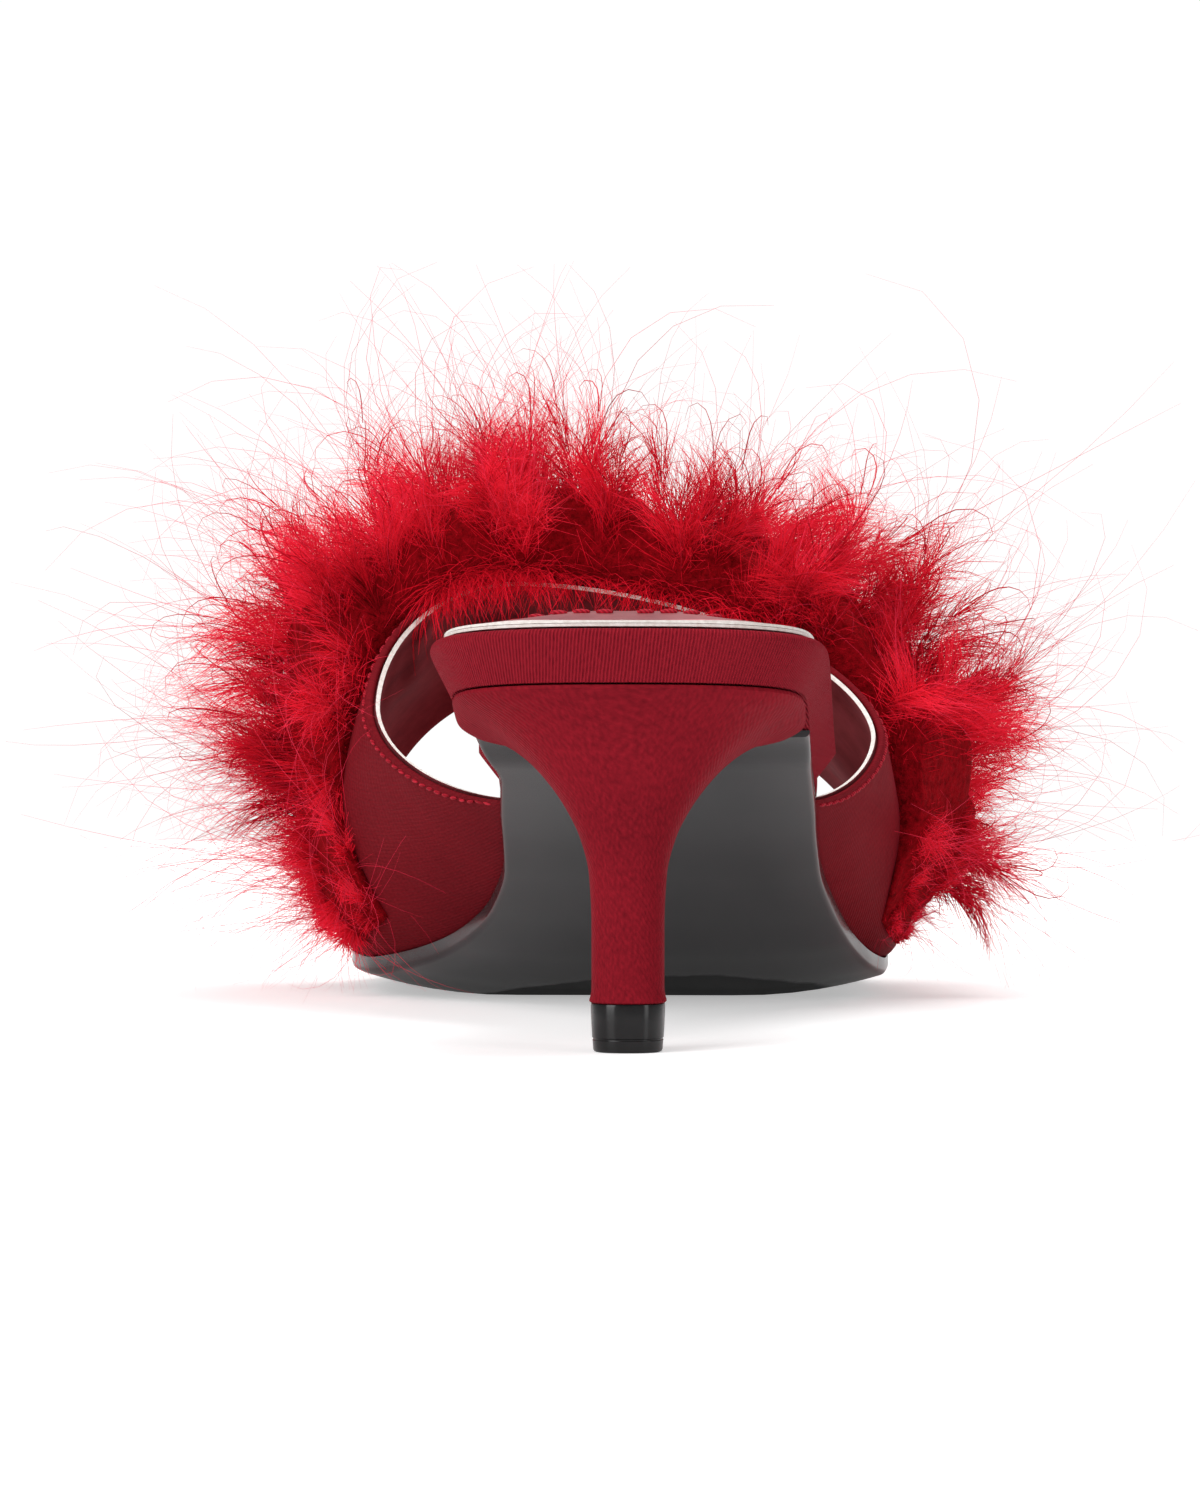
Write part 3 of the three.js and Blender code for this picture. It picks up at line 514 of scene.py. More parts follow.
def rings_solid(name, rings, materials, sharp=40):
    """A closed solid of rings, capped at both ends, with its pattern laid round it."""
    count, sides = rings.shape[:2]
    points = np.vstack([rings.reshape(-1, 3), rings[0].mean(0), rings[-1].mean(0)])
    ring = np.arange(count * sides).reshape(count, sides)
    low, high = ring[:-1], ring[1:]
    around = np.stack([low, np.roll(low, -1, 1), np.roll(high, -1, 1), high], -1).reshape(-1, 4)
    faces = [list(face) for face in around.tolist()]
    for row, centre in ((ring[0], count * sides), (ring[-1], count * sides + 1)):
        order = row if centre == count * sides + 1 else row[::-1]
        faces += [[centre, int(a), int(b)] for a, b in zip(order, np.roll(order, -1))]
    if inside_out(points, faces):
        faces = [face[::-1] for face in faces]
    turn = (np.arange(sides) / sides - 0.25) % 1 - 0.5
    girth = np.linalg.norm(np.roll(rings, -1, 1) - rings, axis=-1).sum(1)
    girth = np.repeat((girth + girth.min())[:, None] / 2, sides, 1)
    uv = np.stack([turn[None] * girth, rings[..., 2]], -1).reshape(-1, 2)
    uv = np.vstack([uv, [[0, 0], [0, 0]]])
    girth = np.append(girth.ravel(), [1e9, 1e9])
    corners = np.concatenate([carried_on(uv[face], girth[face]) for face in faces])
    return mesh_object(name, points, faces, corners, materials, sharp=sharp)


# Node trees


class Tree:
    """A node tree that is built up a node at a time."""

    def __init__(self, group):
        self.group, self.nodes, self.link = group, group.nodes, group.links.new

    def add(self, kind, given=None, **settings):
        """A new node with its settings. A given input takes a value or another node's output."""
        node = self.nodes.new(kind)
        for key, value in settings.items():
            setattr(node, key, value)
        for socket, value in (given or {}).items():
            if isinstance(value, bpy.types.NodeSocket):
                self.link(value, node.inputs[socket])
            else:
                node.inputs[socket].default_value = value
        return node


class Maker(Tree):
    """A geometry tree with named inputs, which an object's lines go into."""

    def __init__(self, name, inputs):
        super().__init__(bpy.data.node_groups.new(name, "GeometryNodeTree"))
        new_socket = self.group.interface.new_socket
        new_socket("Geometry", in_out="INPUT", socket_type="NodeSocketGeometry")
        self.identifiers = {}
        for label, kind in inputs.items():
            socket = new_socket(label, in_out="INPUT", socket_type="NodeSocket" + kind)
            self.identifiers[label] = socket.identifier
        new_socket("Geometry", in_out="OUTPUT", socket_type="NodeSocketGeometry")
        self.given = self.add("NodeGroupInput").outputs

    def end(self, geometry, smooth_shaded=False):
        """Makes the instances real, gives them their material and ends the tree."""
        real = self.add("GeometryNodeRealizeInstances", {"Geometry": geometry}).outputs["Geometry"]
        if smooth_shaded:
            real = self.add("GeometryNodeSetShadeSmooth", {"Geometry": real}).outputs["Geometry"]
        given = {"Geometry": real, "Material": self.given["Material"]}
        finish = self.add("GeometryNodeSetMaterial", given).outputs["Geometry"]
        self.add("NodeGroupOutput", {"Geometry": finish})

    def applied(self, source, values, name):
        """The plain mesh that the tree makes of an object, which is then removed."""
        modifier = source.modifiers.new("made", "NODES")
        modifier.node_group = self.group
        for label, value in values.items():
            modifier[self.identifiers[label]] = value
        bpy.context.view_layer.update()
        evaluated = source.evaluated_get(bpy.context.evaluated_depsgraph_get())
        mesh = bpy.data.meshes.new_from_object(evaluated)
        source.modifiers.remove(modifier)
        bpy.data.objects.remove(source)
        mesh.name = name
        PIECES[name] = object_of(name, mesh)


# Stitches and threads

# How far a stitch may turn from its neighbours', in radians
STITCH_WOBBLE = 0.09
THREAD_SIDES = 3


def stitch_maker():
    """Stitches along a line: a plump thread in each step of it, lying on the surface."""
    inputs = {"Pitch": "Float", "Length": "Float", "Thickness": "Float", "Slant": "Float"}
    tree = Maker("stitches", {**inputs, "Seed": "Int", "Material": "Material"})
    given = tree.given
    line = tree.add("GeometryNodeMeshToCurve", {"Mesh": given["Geometry"]})
    spacing = {"Curve": line.outputs["Curve"], "Length": given["Pitch"]}
    spaced = tree.add("GeometryNodeResampleCurve", spacing, mode="LENGTH")
    up = tree.add("GeometryNodeInputNamedAttribute", {"Name": "up"}, data_type="FLOAT_VECTOR")
    along = tree.add("GeometryNodeInputTangent")
    axes = {"Primary Axis": up.outputs["Attribute"], "Secondary Axis": along.outputs["Tangent"]}
    lying = tree.add("FunctionNodeAxesToRotation", axes, primary_axis="Z", secondary_axis="X")
    wobble = {"Min": -STITCH_WOBBLE, "Max": STITCH_WOBBLE, "Seed": given["Seed"]}
    wobble = tree.add("FunctionNodeRandomValue", wobble, data_type="FLOAT").outputs["Value"]
    slant = tree.add("ShaderNodeMath", {0: given["Slant"], 1: wobble}, operation="ADD")
    turn = tree.add("FunctionNodeAxisAngleToRotation", {"Angle": slant.outputs[0]})
    turns = {"Rotation": lying.outputs["Rotation"], "Rotate By": turn.outputs["Rotation"]}
    turned = tree.add("FunctionNodeRotateRotation", turns, rotation_space="LOCAL")
    bead = tree.add("GeometryNodeMeshIcoSphere", {"Subdivisions": 2, "Radius": 0.5})
    sizes = {"X": given["Length"], "Y": given["Thickness"], "Z": given["Thickness"]}
    placing = {
        "Points": spaced.outputs["Curve"],
        "Instance": bead.outputs["Mesh"],
        "Rotation": turned.outputs["Rotation"],
        "Scale": tree.add("ShaderNodeCombineXYZ", sizes).outputs["Vector"],
    }
    tree.end(tree.add("GeometryNodeInstanceOnPoints", placing).outputs["Instances"], smooth_shaded=True)
    return tree


def thread_maker():
    """A closed tapered thread along each line of edges, as thick as its points say."""
    tree = Maker("threads", {"Sides": "Int", "Material": "Material"})
    line = tree.add("GeometryNodeMeshToCurve", {"Mesh": tree.given["Geometry"]})
    width = tree.add("GeometryNodeInputNamedAttribute", {"Name": "width"}, data_type="FLOAT")
    circle = {"Radius": 0.5, "Resolution": tree.given["Sides"]}
    sweep = {
        "Curve": line.outputs["Curve"],
        "Profile Curve": tree.add("GeometryNodeCurvePrimitiveCircle", circle).outputs["Curve"],
        "Scale": width.outputs["Attribute"],
        "Fill Caps": True,
    }
    tree.end(tree.add("GeometryNodeCurveToMesh", sweep).outputs["Mesh"])
    return tree


STITCHES = stitch_maker()
THREADS = thread_maker()
TOPSTITCH = {"pitch": 1.95, "length": 1.7, "thickness": 0.62, "slant": 0.14}
SEAMS = {
    "collar_topstitch": {**TOPSTITCH, "seed": 3},
    "toe_topstitch": {**TOPSTITCH, "seed": 4},
    "sock_stitch": {"pitch": 3.1, "length": 2.5, "thickness": 0.75, "slant": 0.05, "seed": 5},
}


def set_values(mesh, name, kind, values):
    """A value at each point, which a tree or a material reads by its name."""
    attribute = mesh.attributes.new(name, kind, "POINT")
    field = "vector" if kind == "FLOAT_VECTOR" else "value"
    attribute.data.foreach_set(field, np.asarray(values, np.float32).ravel())


def seam(name, points, ups, material):
    """A row of stitches along points, with the surface's direction at each."""
    mesh = bpy.data.meshes.new(name)
    edges = [(i, i + 1) for i in range(len(points) - 1)]
    mesh.from_pydata([tuple(point) for point in np.asarray(points) * MM], edges, [])
    set_values(mesh, "up", "FLOAT_VECTOR", ups)
    sizes = SEAMS[name]
    given = {
        "Pitch": sizes["pitch"] * MM,
        "Length": sizes["length"] * MM,
        "Thickness": sizes["thickness"] * MM,
        "Slant": sizes["slant"],
        "Seed": sizes["seed"],
        "Material": material,
    }
    STITCHES.applied(object_of(name + "_line", mesh), given, name)


def threads(name, lines, widths, shades, material):
    """Threads from an array of lines, each of as many points, with a width at each point."""
    count, steps = lines.shape[:2]
    mesh = bpy.data.meshes.new(name)
    mesh.vertices.add(count * steps)
    mesh.vertices.foreach_set("co", (lines * MM).astype(np.float32).ravel())
    first = (np.arange(count)[:, None] * steps + np.arange(steps - 1)[None]).ravel()
    mesh.edges.add(len(first))
    mesh.edges.foreach_set("vertices", np.stack([first, first + 1], -1).astype(np.int32).ravel())
    set_values(mesh, "width", "FLOAT", widths * MM)
    set_values(mesh, "shade", "FLOAT", np.repeat(shades, steps))
    set_values(mesh, "reach", "FLOAT", np.tile(np.linspace(0, 1, steps), count))
    source = object_of(name + "_lines", mesh)
    THREADS.applied(source, {"Sides": THREAD_SIDES, "Material": material}, name)


# Materials. A pattern's scale is in waves or cells a metre, and a bump's depth in metres.

# A wave texture of scale 1 repeats after this length
WAVE_UNIT = math.pi / 10
BLACK = (0, 0, 0)
WHITE = (1, 1, 1)


def grey(value):
    return (value,) * 3


class Finish(Tree):
    """A material with its shader's plain values set, whose patterns are then built up."""

    def __init__(self, name, **values):
        self.material = bpy.data.materials.new(name)
        self.material.use_nodes = True
        super().__init__(self.material.node_tree)
        self.shader = self.nodes["Principled BSDF"].inputs
        for socket, value in values.items():
            self.shader[socket.replace("_", " ")].default_value = value

    def place(self, source="Object", scale=(1, 1, 1), turn=0.0):
        coordinates = self.add("ShaderNodeTexCoord").outputs[source]
        given = {"Vector": coordinates, "Scale": scale, "Rotation": (0, 0, math.radians(turn))}
        return self.add("ShaderNodeMapping", given).outputs["Vector"]

    def noise(self, place, scale, detail=3.0, roughness=0.5):
        given = {"Vector": place, "Scale": scale, "Detail": detail, "Roughness": roughness}
        return self.add("ShaderNodeTexNoise", given).outputs["Fac"]

    def wave(self, place, scale, distortion=0.0, direction="X"):
        given = {"Vector": place, "Scale": scale, "Distortion": distortion, "Detail": 1.0}
        return self.add("ShaderNodeTexWave", given, bands_direction=direction).outputs["Fac"]

    def math(self, operation, first, second):
        return self.add("ShaderNodeMath", {0: first, 1: second}, operation=operation).outputs[0]

    def sum(self, *parts):
        """Patterns added together, each with its weight."""
        total = None
        for pattern, weight in parts:
            part = pattern if weight == 1 else self.math("MULTIPLY", pattern, weight)
            total = part if total is None else self.math("ADD", total, part)
        return total

    def ramp(self, source, *stops):
        node = self.add("ShaderNodeValToRGB", {"Fac": source})
        while len(node.color_ramp.elements) < len(stops):
            node.color_ramp.elements.new(0.5)
        for element, (place, colour) in zip(node.color_ramp.elements, stops):
            element.position = place
            element.color = (*colour, 1)
        return node.outputs["Color"]

    def paint(self, socket, source, *stops):
        self.link(self.ramp(source, *stops), self.shader[socket])

    def bump(self, height, depth, strength=1.0, over=None):
        given = {"Height": height, "Distance": depth, "Strength": strength}
        if over is not None:
            given["Normal"] = over
        normal = self.add("ShaderNodeBump", given).outputs["Normal"]
        self.link(normal, self.shader["Normal"])
        return normal


def satin(name, dark, light, ribbed, rib_depth, rib_pitch=0.00048, slant=7, uneven=0.6):
    """Dark red satin: a fine slanting rib, a slow change of tone and a faint sheen."""
    finish = Finish(
        name,
        Roughness=0.45,
        Sheen_Weight=0.09,
        Sheen_Roughness=0.35,
        Sheen_Tint=(1.0, 0.12, 0.17, 1),
        Specular_IOR_Level=0.006,
    )
    cloth = finish.place("UV", turn=slant)
    rib_scale = WAVE_UNIT / rib_pitch
    ribs = finish.wave(cloth, rib_scale, distortion=uneven)
    crossing = finish.wave(cloth, rib_scale * 0.6, distortion=1.5, direction="Y")
    speckle = finish.noise(finish.place("UV", scale=(1, 0.4, 1)), 2600, detail=2)
    slow = finish.noise(finish.place(), 45, detail=4)
    tone = finish.sum((slow, 0.4), (ribs, ribbed), (speckle, 0.6))
    finish.paint("Base Color", tone, (0.25, dark), (0.85, light))
    swell = finish.bump(finish.noise(finish.place(), 120, detail=2), 0.0004, 0.5)
    finish.bump(finish.sum((ribs, 1), (crossing, 0.3), (speckle, 0.6)), rib_depth, over=swell)
    return finish.material


# The oval of tread under the ball, in metres and degrees, with where its edge fades, as a share
# of its size, how much darker it is painted and how much rougher. The darkening is painted shade
# for the floor's shadow that the glossy sole mirrors there; the rougher finish is the sole's own.
TREAD_PAINTED_DARK = {
    "place": (-0.003, 0.140, 0.0),
    "half": (0.035, 0.026, 1.0),
    "turn": -35,
    "fade": 0.96,
    "shade": 0.12,
    "rougher": 0.3,
}


def sole_sheet():
    """Glossy black sole with soft waves and faint smears, rubbed dull under the ball, where painted shade
    also darkens it in place of the floor's shadow mirrored there.
    """
    finish = Finish("black_gloss_sole", Specular_IOR_Level=0.36)
    place = finish.place()
    smear = finish.noise(finish.place(scale=(1, 0.35, 1)), 60, detail=5, roughness=0.65)
    oval = {
        "Vector": place,
        "Location": TREAD_PAINTED_DARK["place"],
        "Rotation": (0, 0, math.radians(TREAD_PAINTED_DARK["turn"])),
        "Scale": TREAD_PAINTED_DARK["half"],
    }
    in_oval = finish.add("ShaderNodeMapping", oval, vector_type="TEXTURE").outputs["Vector"]
    from_middle = finish.add("ShaderNodeVectorMath", {0: in_oval}, operation="LENGTH").outputs["Value"]
    away = finish.sum((from_middle, 1), (finish.noise(place, 150, detail=3), 0.1))
    outside = finish.ramp(away, (0.0, BLACK), (TREAD_PAINTED_DARK["fade"], BLACK), (1.0, WHITE))
    # Painted shade: the B colour darkens the oval under the ball for the floor's shadow mirrored in the
    # sole
    shading = {
        "Factor": 1.0,
        "A": finish.ramp(smear, (0.3, (0.018, 0.0160, 0.0172)), (0.7, (0.034, 0.0300, 0.0322))),
        "B": finish.ramp(away, (TREAD_PAINTED_DARK["fade"], grey(TREAD_PAINTED_DARK["shade"])), (1.0, WHITE)),
    }
    shaded = finish.add("ShaderNodeMix", shading, data_type="RGBA", blend_type="MULTIPLY")
    finish.link(shaded.outputs["Result"], finish.shader["Base Color"])
    smeared = finish.ramp(smear, (0.3, grey(0.13)), (0.75, grey(0.22)))
    rough = finish.sum((smeared, 1), (finish.math("SUBTRACT", 1.0, outside), TREAD_PAINTED_DARK["rougher"]))
    finish.link(rough, finish.shader["Roughness"])
    swell = finish.bump(finish.noise(place, 28, detail=1), 0.0006, 0.35)
    finish.bump(finish.noise(place, 1800, detail=1), 0.00001, 0.2, over=swell)
    return finish.material


def tip_plastic():
    """Polished black, with the upright streaks of light that a turned edge has."""
    finish = Finish(
        "polished_tip",
        Roughness=0.22,
        Specular_IOR_Level=0.4,
        Anisotropic=0.85,
        Anisotropic_Rotation=0.25,
    )
    place = finish.place()
    worn = finish.noise(place, 700, detail=4)
    finish.paint("Base Color", worn, (0.35, (0.004, 0.0035, 0.004)), (0.8, (0.009, 0.008, 0.0085)))
    finish.bump(finish.noise(place, 300, detail=1), 0.00006, 0.3)
    return finish.material


def lining_skin(name, dark, light, gloss):
    """Dusty wine red lining, smooth, with a fine pebble and a rosy gloss."""
    finish = Finish(
        name,
        Specular_IOR_Level=gloss,
        Metallic=0.22,
        Specular_Tint=(1.0, 0.35, 0.38, 1),
        Sheen_Weight=0.1,
        Sheen_Roughness=0.3,
        Sheen_Tint=(1.0, 0.42, 0.45, 1),
    )
    place = finish.place()
    slow = finish.noise(place, 90, detail=5, roughness=0.6)
    finish.paint("Base Color", slow, (0.3, dark), (0.75, light))
    finish.paint("Roughness", slow, (0.3, grey(0.3)), (0.8, grey(0.42)))
    finish.bump(finish.noise(place, 2600, detail=2), 0.00004, 0.6)
    return finish.material


def cut_edge():
    """The cream edge of a cut lining, slightly fibrous."""
    finish = Finish("cream_cut_edge", Roughness=0.6)
    fibre = finish.noise(finish.place(), 1400, detail=4)
    finish.paint("Base Color", fibre, (0.3, (0.74, 0.68, 0.63)), (0.7, (0.93, 0.90, 0.86)))
    finish.bump(fibre, 0.00008, 0.7)
    return finish.material


def stitch_thread():
    """Red sewing thread, with its twist."""
    finish = Finish(
        "red_thread",
        Roughness=0.5,
        Sheen_Weight=0.04,
        Sheen_Tint=(1, 0.3, 0.3, 1),
        Specular_IOR_Level=0.06,
    )
    twist = finish.wave(finish.place(), 900, direction="DIAGONAL")
    finish.paint("Base Color", twist, (0.2, (0.28, 0.008, 0.018)), (0.8, (0.52, 0.020, 0.040)))
    finish.bump(twist, 0.0001, 0.7)
    return finish.material


def down(name, root, body, tip, glow, strength):
    """Dyed red down, with painted shade that darkens it towards the root and painted light that brightens
    its tip, where a painted glow stands in for the light that passes through it.
    """
    finish = Finish(name, Roughness=0.9, Specular_IOR_Level=0.03, Emission_Strength=strength)
    shade = finish.add("ShaderNodeAttribute", attribute_name="shade").outputs["Fac"]
    reach = finish.add("ShaderNodeAttribute", attribute_name="reach").outputs["Fac"]
    tone = finish.sum((reach, 0.42), (shade, 0.58))
    if name == "core_down":
        fluff = finish.noise(finish.place(), 900, detail=4, roughness=0.7)
        finish.bump(fluff, 0.0012)
        tone = finish.math("SUBTRACT", finish.sum((tone, 1), (fluff, 0.5)), 0.25)
    # Painted shade and light: tone, from reach and shade, darkens the down towards its roots and between
    # tufts and brightens its tips
    finish.paint("Base Color", tone, (0.12, root), (0.55, body), (0.95, tip))
    # Painted light: an emission glow at the bright tips, in place of the light that passes through the
    # down
    half_painted_glow = [0.4 * value for value in glow]
    finish.paint("Emission Color", tone, (0.2, BLACK), (0.6, half_painted_glow), (1.0, glow))
    return finish.material


FOOTBED_SATIN = satin(
    "footbed_satin", (0.09, 0.004, 0.009), (0.33, 0.015, 0.027), ribbed=0.6, rib_depth=0.0002
)
HEEL_SATIN = satin(
    "heel_satin",
    (0.12, 0.006, 0.011),
    (0.35, 0.014, 0.026),
    ribbed=0.04,
    rib_depth=0.00004,
    rib_pitch=0.0006,
    slant=-38,
    uneven=3.0,
)
# Painted shade: the upper's satin gets a darker range than the footbed's and heel's, for the shade that
# falls on it under the down
BAND_SATIN_SHADED = satin(
    "band_satin",
    (0.11, 0.006, 0.010),
    (0.245, 0.013, 0.020),
    ribbed=0.06,
    rib_depth=0.00003,
    rib_pitch=0.0007,
    slant=30,
    uneven=2.0,
)
SOLE_GLOSS = sole_sheet()
TIP_GLOSS = tip_plastic()
# The lining and the sock's face are one dusty wine leather: the lining's darker range is partly its own
# colour and partly painted shade for the dim inside of the upper, and the sock's lighter, pinker range is
# partly painted highlight for its pale gloss at a grazing view
LINING_WITH_PAINTED_SHADE = lining_skin("wine_lining", (0.11, 0.016, 0.020), (0.36, 0.075, 0.086), gloss=0.0)
SOCK_FACE_WITH_PAINTED_GLOSS = lining_skin("sock_face", (0.28, 0.085, 0.095), (0.48, 0.18, 0.19), gloss=1.0)
CUT_EDGE = cut_edge()
THREAD = stitch_thread()

# The downs: their colour at the root, in the body and at the tip, with painted shade that makes the
# root darkest and the deep rows and the core darker than the outer ones, and the colour and
# strength of a painted glow that stands in for the light that comes through their tips
RED_PAINTED_GLOW = (0.80, 0.012, 0.035)
PINK_PAINTED_GLOW = (0.95, 0.04, 0.085)
DOWN_TONES_WITH_PAINTED_LIGHT = {
    "core_down": ((0.07, 0.001, 0.002), (0.50, 0.004, 0.010), (0.74, 0.010, 0.024), RED_PAINTED_GLOW, 0.3),
    "down": ((0.09, 0.001, 0.003), (0.66, 0.006, 0.017), (0.86, 0.020, 0.050), RED_PAINTED_GLOW, 0.3),
    "outer_down": ((0.44, 0.004, 0.011), (0.78, 0.008, 0.021), (0.92, 0.026, 0.058), PINK_PAINTED_GLOW, 0.3),
    "long_down": ((0.50, 0.006, 0.016), (0.80, 0.012, 0.032), (0.92, 0.04, 0.085), PINK_PAINTED_GLOW, 0.5),
    "wisp_down": ((0.50, 0.012, 0.032), (0.74, 0.026, 0.066), (0.84, 0.06, 0.12), PINK_PAINTED_GLOW, 0.5),
    "curl_down": ((0.34, 0.004, 0.011), (0.56, 0.008, 0.019), (0.70, 0.018, 0.040), RED_PAINTED_GLOW, 0.3),
}
DOWNS = {name: down(name, *tones) for name, tones in DOWN_TONES_WITH_PAINTED_LIGHT.items()}

# Pieces under the foot

SOLE_COLUMN_PLACES = np.sin(np.linspace(-math.pi / 2, math.pi / 2, 23))


def steps_round(radius, count):
    """How far in and how far up each step of a rounded edge lies, from its side to its face."""
    angle = np.linspace(0, math.pi / 2, count)
    return list(zip(radius * (1 - np.cos(angle)), radius * np.sin(angle)))


# The sheet sole: how far it runs in under the heel, over what length its end there is pared,
# how thin it ends and how far round its edge is
SHEET = {"tuck": 5, "pared": 10, "end": 0.2, "round": 0.7}


def outsole():
    """The sheet sole, with its lower edge rounded and its end under the heel pared."""
    cut = (BREAST_PLACE - SHEET["tuck"]) / SOLE_LENGTH
    along, close = sole_stations(22, 90)
    ahead = along > cut + 0.002
    stations = (np.concatenate([[cut], along[ahead]]), np.concatenate([[1.0], close[ahead]]))
    radius = SHEET["round"]
    layers = []
    start = float(to_y(cut))

    def underside(x, y):
        pared = 1 - smooth(y, start, start + SHEET["pared"])
        return bed_z(x, y) - BED_HEIGHT + pared * (OUTSOLE_THICKNESS - radius - SHEET["end"])

    for inset, lift in reversed(steps_round(radius, 5)):
        layers.append(sole_layer(
            stations, SOLE_COLUMN_PLACES, lambda a, d=inset: -d,
            lambda x, y, up=lift: underside(x, y) + radius - up,
        ))
    layers.append(sole_layer(
        stations, SOLE_COLUMN_PLACES, lambda a: 0 * a, lambda x, y: bed_z(x, y) - CLEARANCE,
    ))
    return solid("outsole_sheet", layers, [SOLE_GLOSS], sharp=35)


def footbed():
    """The wrapped board, its sides leaning out to a rounded upper edge."""
    stations = sole_stations(22, 80)
    layers = []
    for share in np.linspace(0, 1, 6):
        layers.append(sole_layer(
            stations, SOLE_COLUMN_PLACES,
            lambda a, s=share: s * footbed_overhang(a) - footbed_inset(a),
            lambda x, y, s=share: mix(bed_z(x, y), footbed_z(x, y) - FOOTBED_ROUND, s),
        ))
    for inset, lift in steps_round(FOOTBED_ROUND, 6)[1:]:
        layers.append(sole_layer(
            stations, SOLE_COLUMN_PLACES,
            lambda a, d=inset: footbed_overhang(a) - footbed_inset(a) - d,
            lambda x, y, up=lift: footbed_z(x, y) - FOOTBED_ROUND + up,
        ))
    return solid("footbed_cover", layers, [FOOTBED_SATIN])


# The sock's two sheets: between what heights over the footbed each lies, and how far in
SOCK_LAYERS = {
    "sock_board": {"low": 0.05, "high": 0.45, "inset": 0.0},
    "sock_face": {"low": 0.53, "high": 1.0, "inset": 0.12},
}
# The seam's place and groove, how far its stitches stand out of it, and the drop of the edge
SOCK_SEAM = {"inset": 4.6, "groove": 0.3, "groove_width": 1.3, "proud": 0.2}
SOCK_EDGE = {"drop": 0.12, "width": 0.5}
# Where the heel pad swells: over what length behind, from what share of its own length it sinks
# ahead, and between what shares of the half width it sinks at the sides
PAD_FORM = {"behind": 6, "ahead": 0.6, "sides": (0.25, 0.8)}


def sock_edge(along):
    return footbed_overhang(along) - footbed_inset(along) - SOCK_MARGIN


def pad_swell(x, y):
    """How high the heel pad stands."""
    along = to_along(y)
    place = along * SOLE_LENGTH
    ahead = 1 - smooth(place, PAD_LENGTH * PAD_FORM["ahead"], PAD_LENGTH)
    behind = smooth(place, SOCK_MARGIN, SOCK_MARGIN + PAD_FORM["behind"])
    across = 1 - smooth(np.abs(x - middle_at(along)) / full_half(along), *PAD_FORM["sides"])
    return PAD_HEIGHT * ahead * behind * across


def sock(name):
    """One sheet of the sock. The upper one swells over the heel pad and dips along its seam."""
    form = SOCK_LAYERS[name]
    upper = name == "sock_face"
    stations = sole_stations(26, 110 if upper else 60)
    columns = np.sin(np.linspace(-math.pi / 2, math.pi / 2, 41 if upper else 15))

    def distance(a):
        return sock_edge(a) - form["inset"]

    def under(x, y):
        return footbed_z(x, y) + CLEARANCE + form["low"]

    left, right = outline(*stations, distance(stations[0]))
    layers = [sole_layer(stations, columns, distance, under)]
    top = sole_layer(stations, columns, distance, lambda x, y: under(x, y) + form["high"] - form["low"])
    if upper:
        edge = np.vstack([left, right[::-1]])
        flat = top[..., :2].reshape(-1, 2)
        away = np.full(len(flat), np.inf)
        batch = 8
        for start in range(0, len(edge), batch):
            gap = np.linalg.norm(flat[:, None] - edge[None, start:start + batch], axis=2).min(1)
            away = np.minimum(away, gap)
        away = away.reshape(top.shape[:2])
        dip = np.exp(-(((away - SOCK_SEAM["inset"]) / SOCK_SEAM["groove_width"]) ** 2))
        top[..., 2] += pad_swell(top[..., 0], top[..., 1]) - SOCK_SEAM["groove"] * dip * (away > 1)
        top[..., 2] -= SOCK_EDGE["drop"] * np.exp(-((away / SOCK_EDGE["width"]) ** 2))
    layers.append(top)
    material = SOCK_FACE_WITH_PAINTED_GLOSS if upper else CUT_EDGE
    return solid(name, layers, [material, CUT_EDGE], slot_of_kind=(0, 0, 1), sharp=50)


def sock_seam():
    """The row of stitches along the sock's edge."""
    along, close = sole_stations(40, 240)
    left, right = outline(along, close, sock_edge(along) - SOCK_SEAM["inset"])
    loop = np.vstack([left[1:-1], right[::-1][1:-1]])
    lift = SOCK_LAYERS["sock_face"]["high"] + CLEARANCE - SOCK_SEAM["groove"] + SOCK_SEAM["proud"]
    z = footbed_z(loop[:, 0], loop[:, 1]) + lift + pad_swell(loop[:, 0], loop[:, 1])
    points = np.column_stack([loop, z])
    seam("sock_stitch", points, np.tile([0.0, 0.0, 1.0], (len(points), 1)), THREAD)


# The heel's wrapping: its lip under the seat, which turns in above, its flare at the tip and
# the hem there, each with the levels between which it comes or over which it fades
HEEL_LIP = {"out": 0.25, "comes": (0.975, 0.985), "turned_in": 0.5, "turns": (0.99, 1.0)}
HEEL_FLARE = {"out": 0.22, "over": 0.02}
HEEL_HEM = {"in": 0.25, "over": 0.003}


def seat_z(y):
    return bed_z(0, y) - CLEARANCE


def heel_ring(size, height, sides=96):
    angle = np.linspace(0, 2 * math.pi, sides, endpoint=False)
    ahead = np.sin(angle) > 0
    power = 2 / np.where(ahead, size["ahead"], size["behind"])
    x = size["half"] * np.sign(np.cos(angle)) * np.abs(np.cos(angle)) ** power
    reach = np.where(ahead, size["front"] - size["widest"], size["back"] + size["widest"])
    y = size["widest"] + reach * np.sign(np.sin(angle)) * np.abs(np.sin(angle)) ** power
    return np.column_stack([x, y, height(y)])


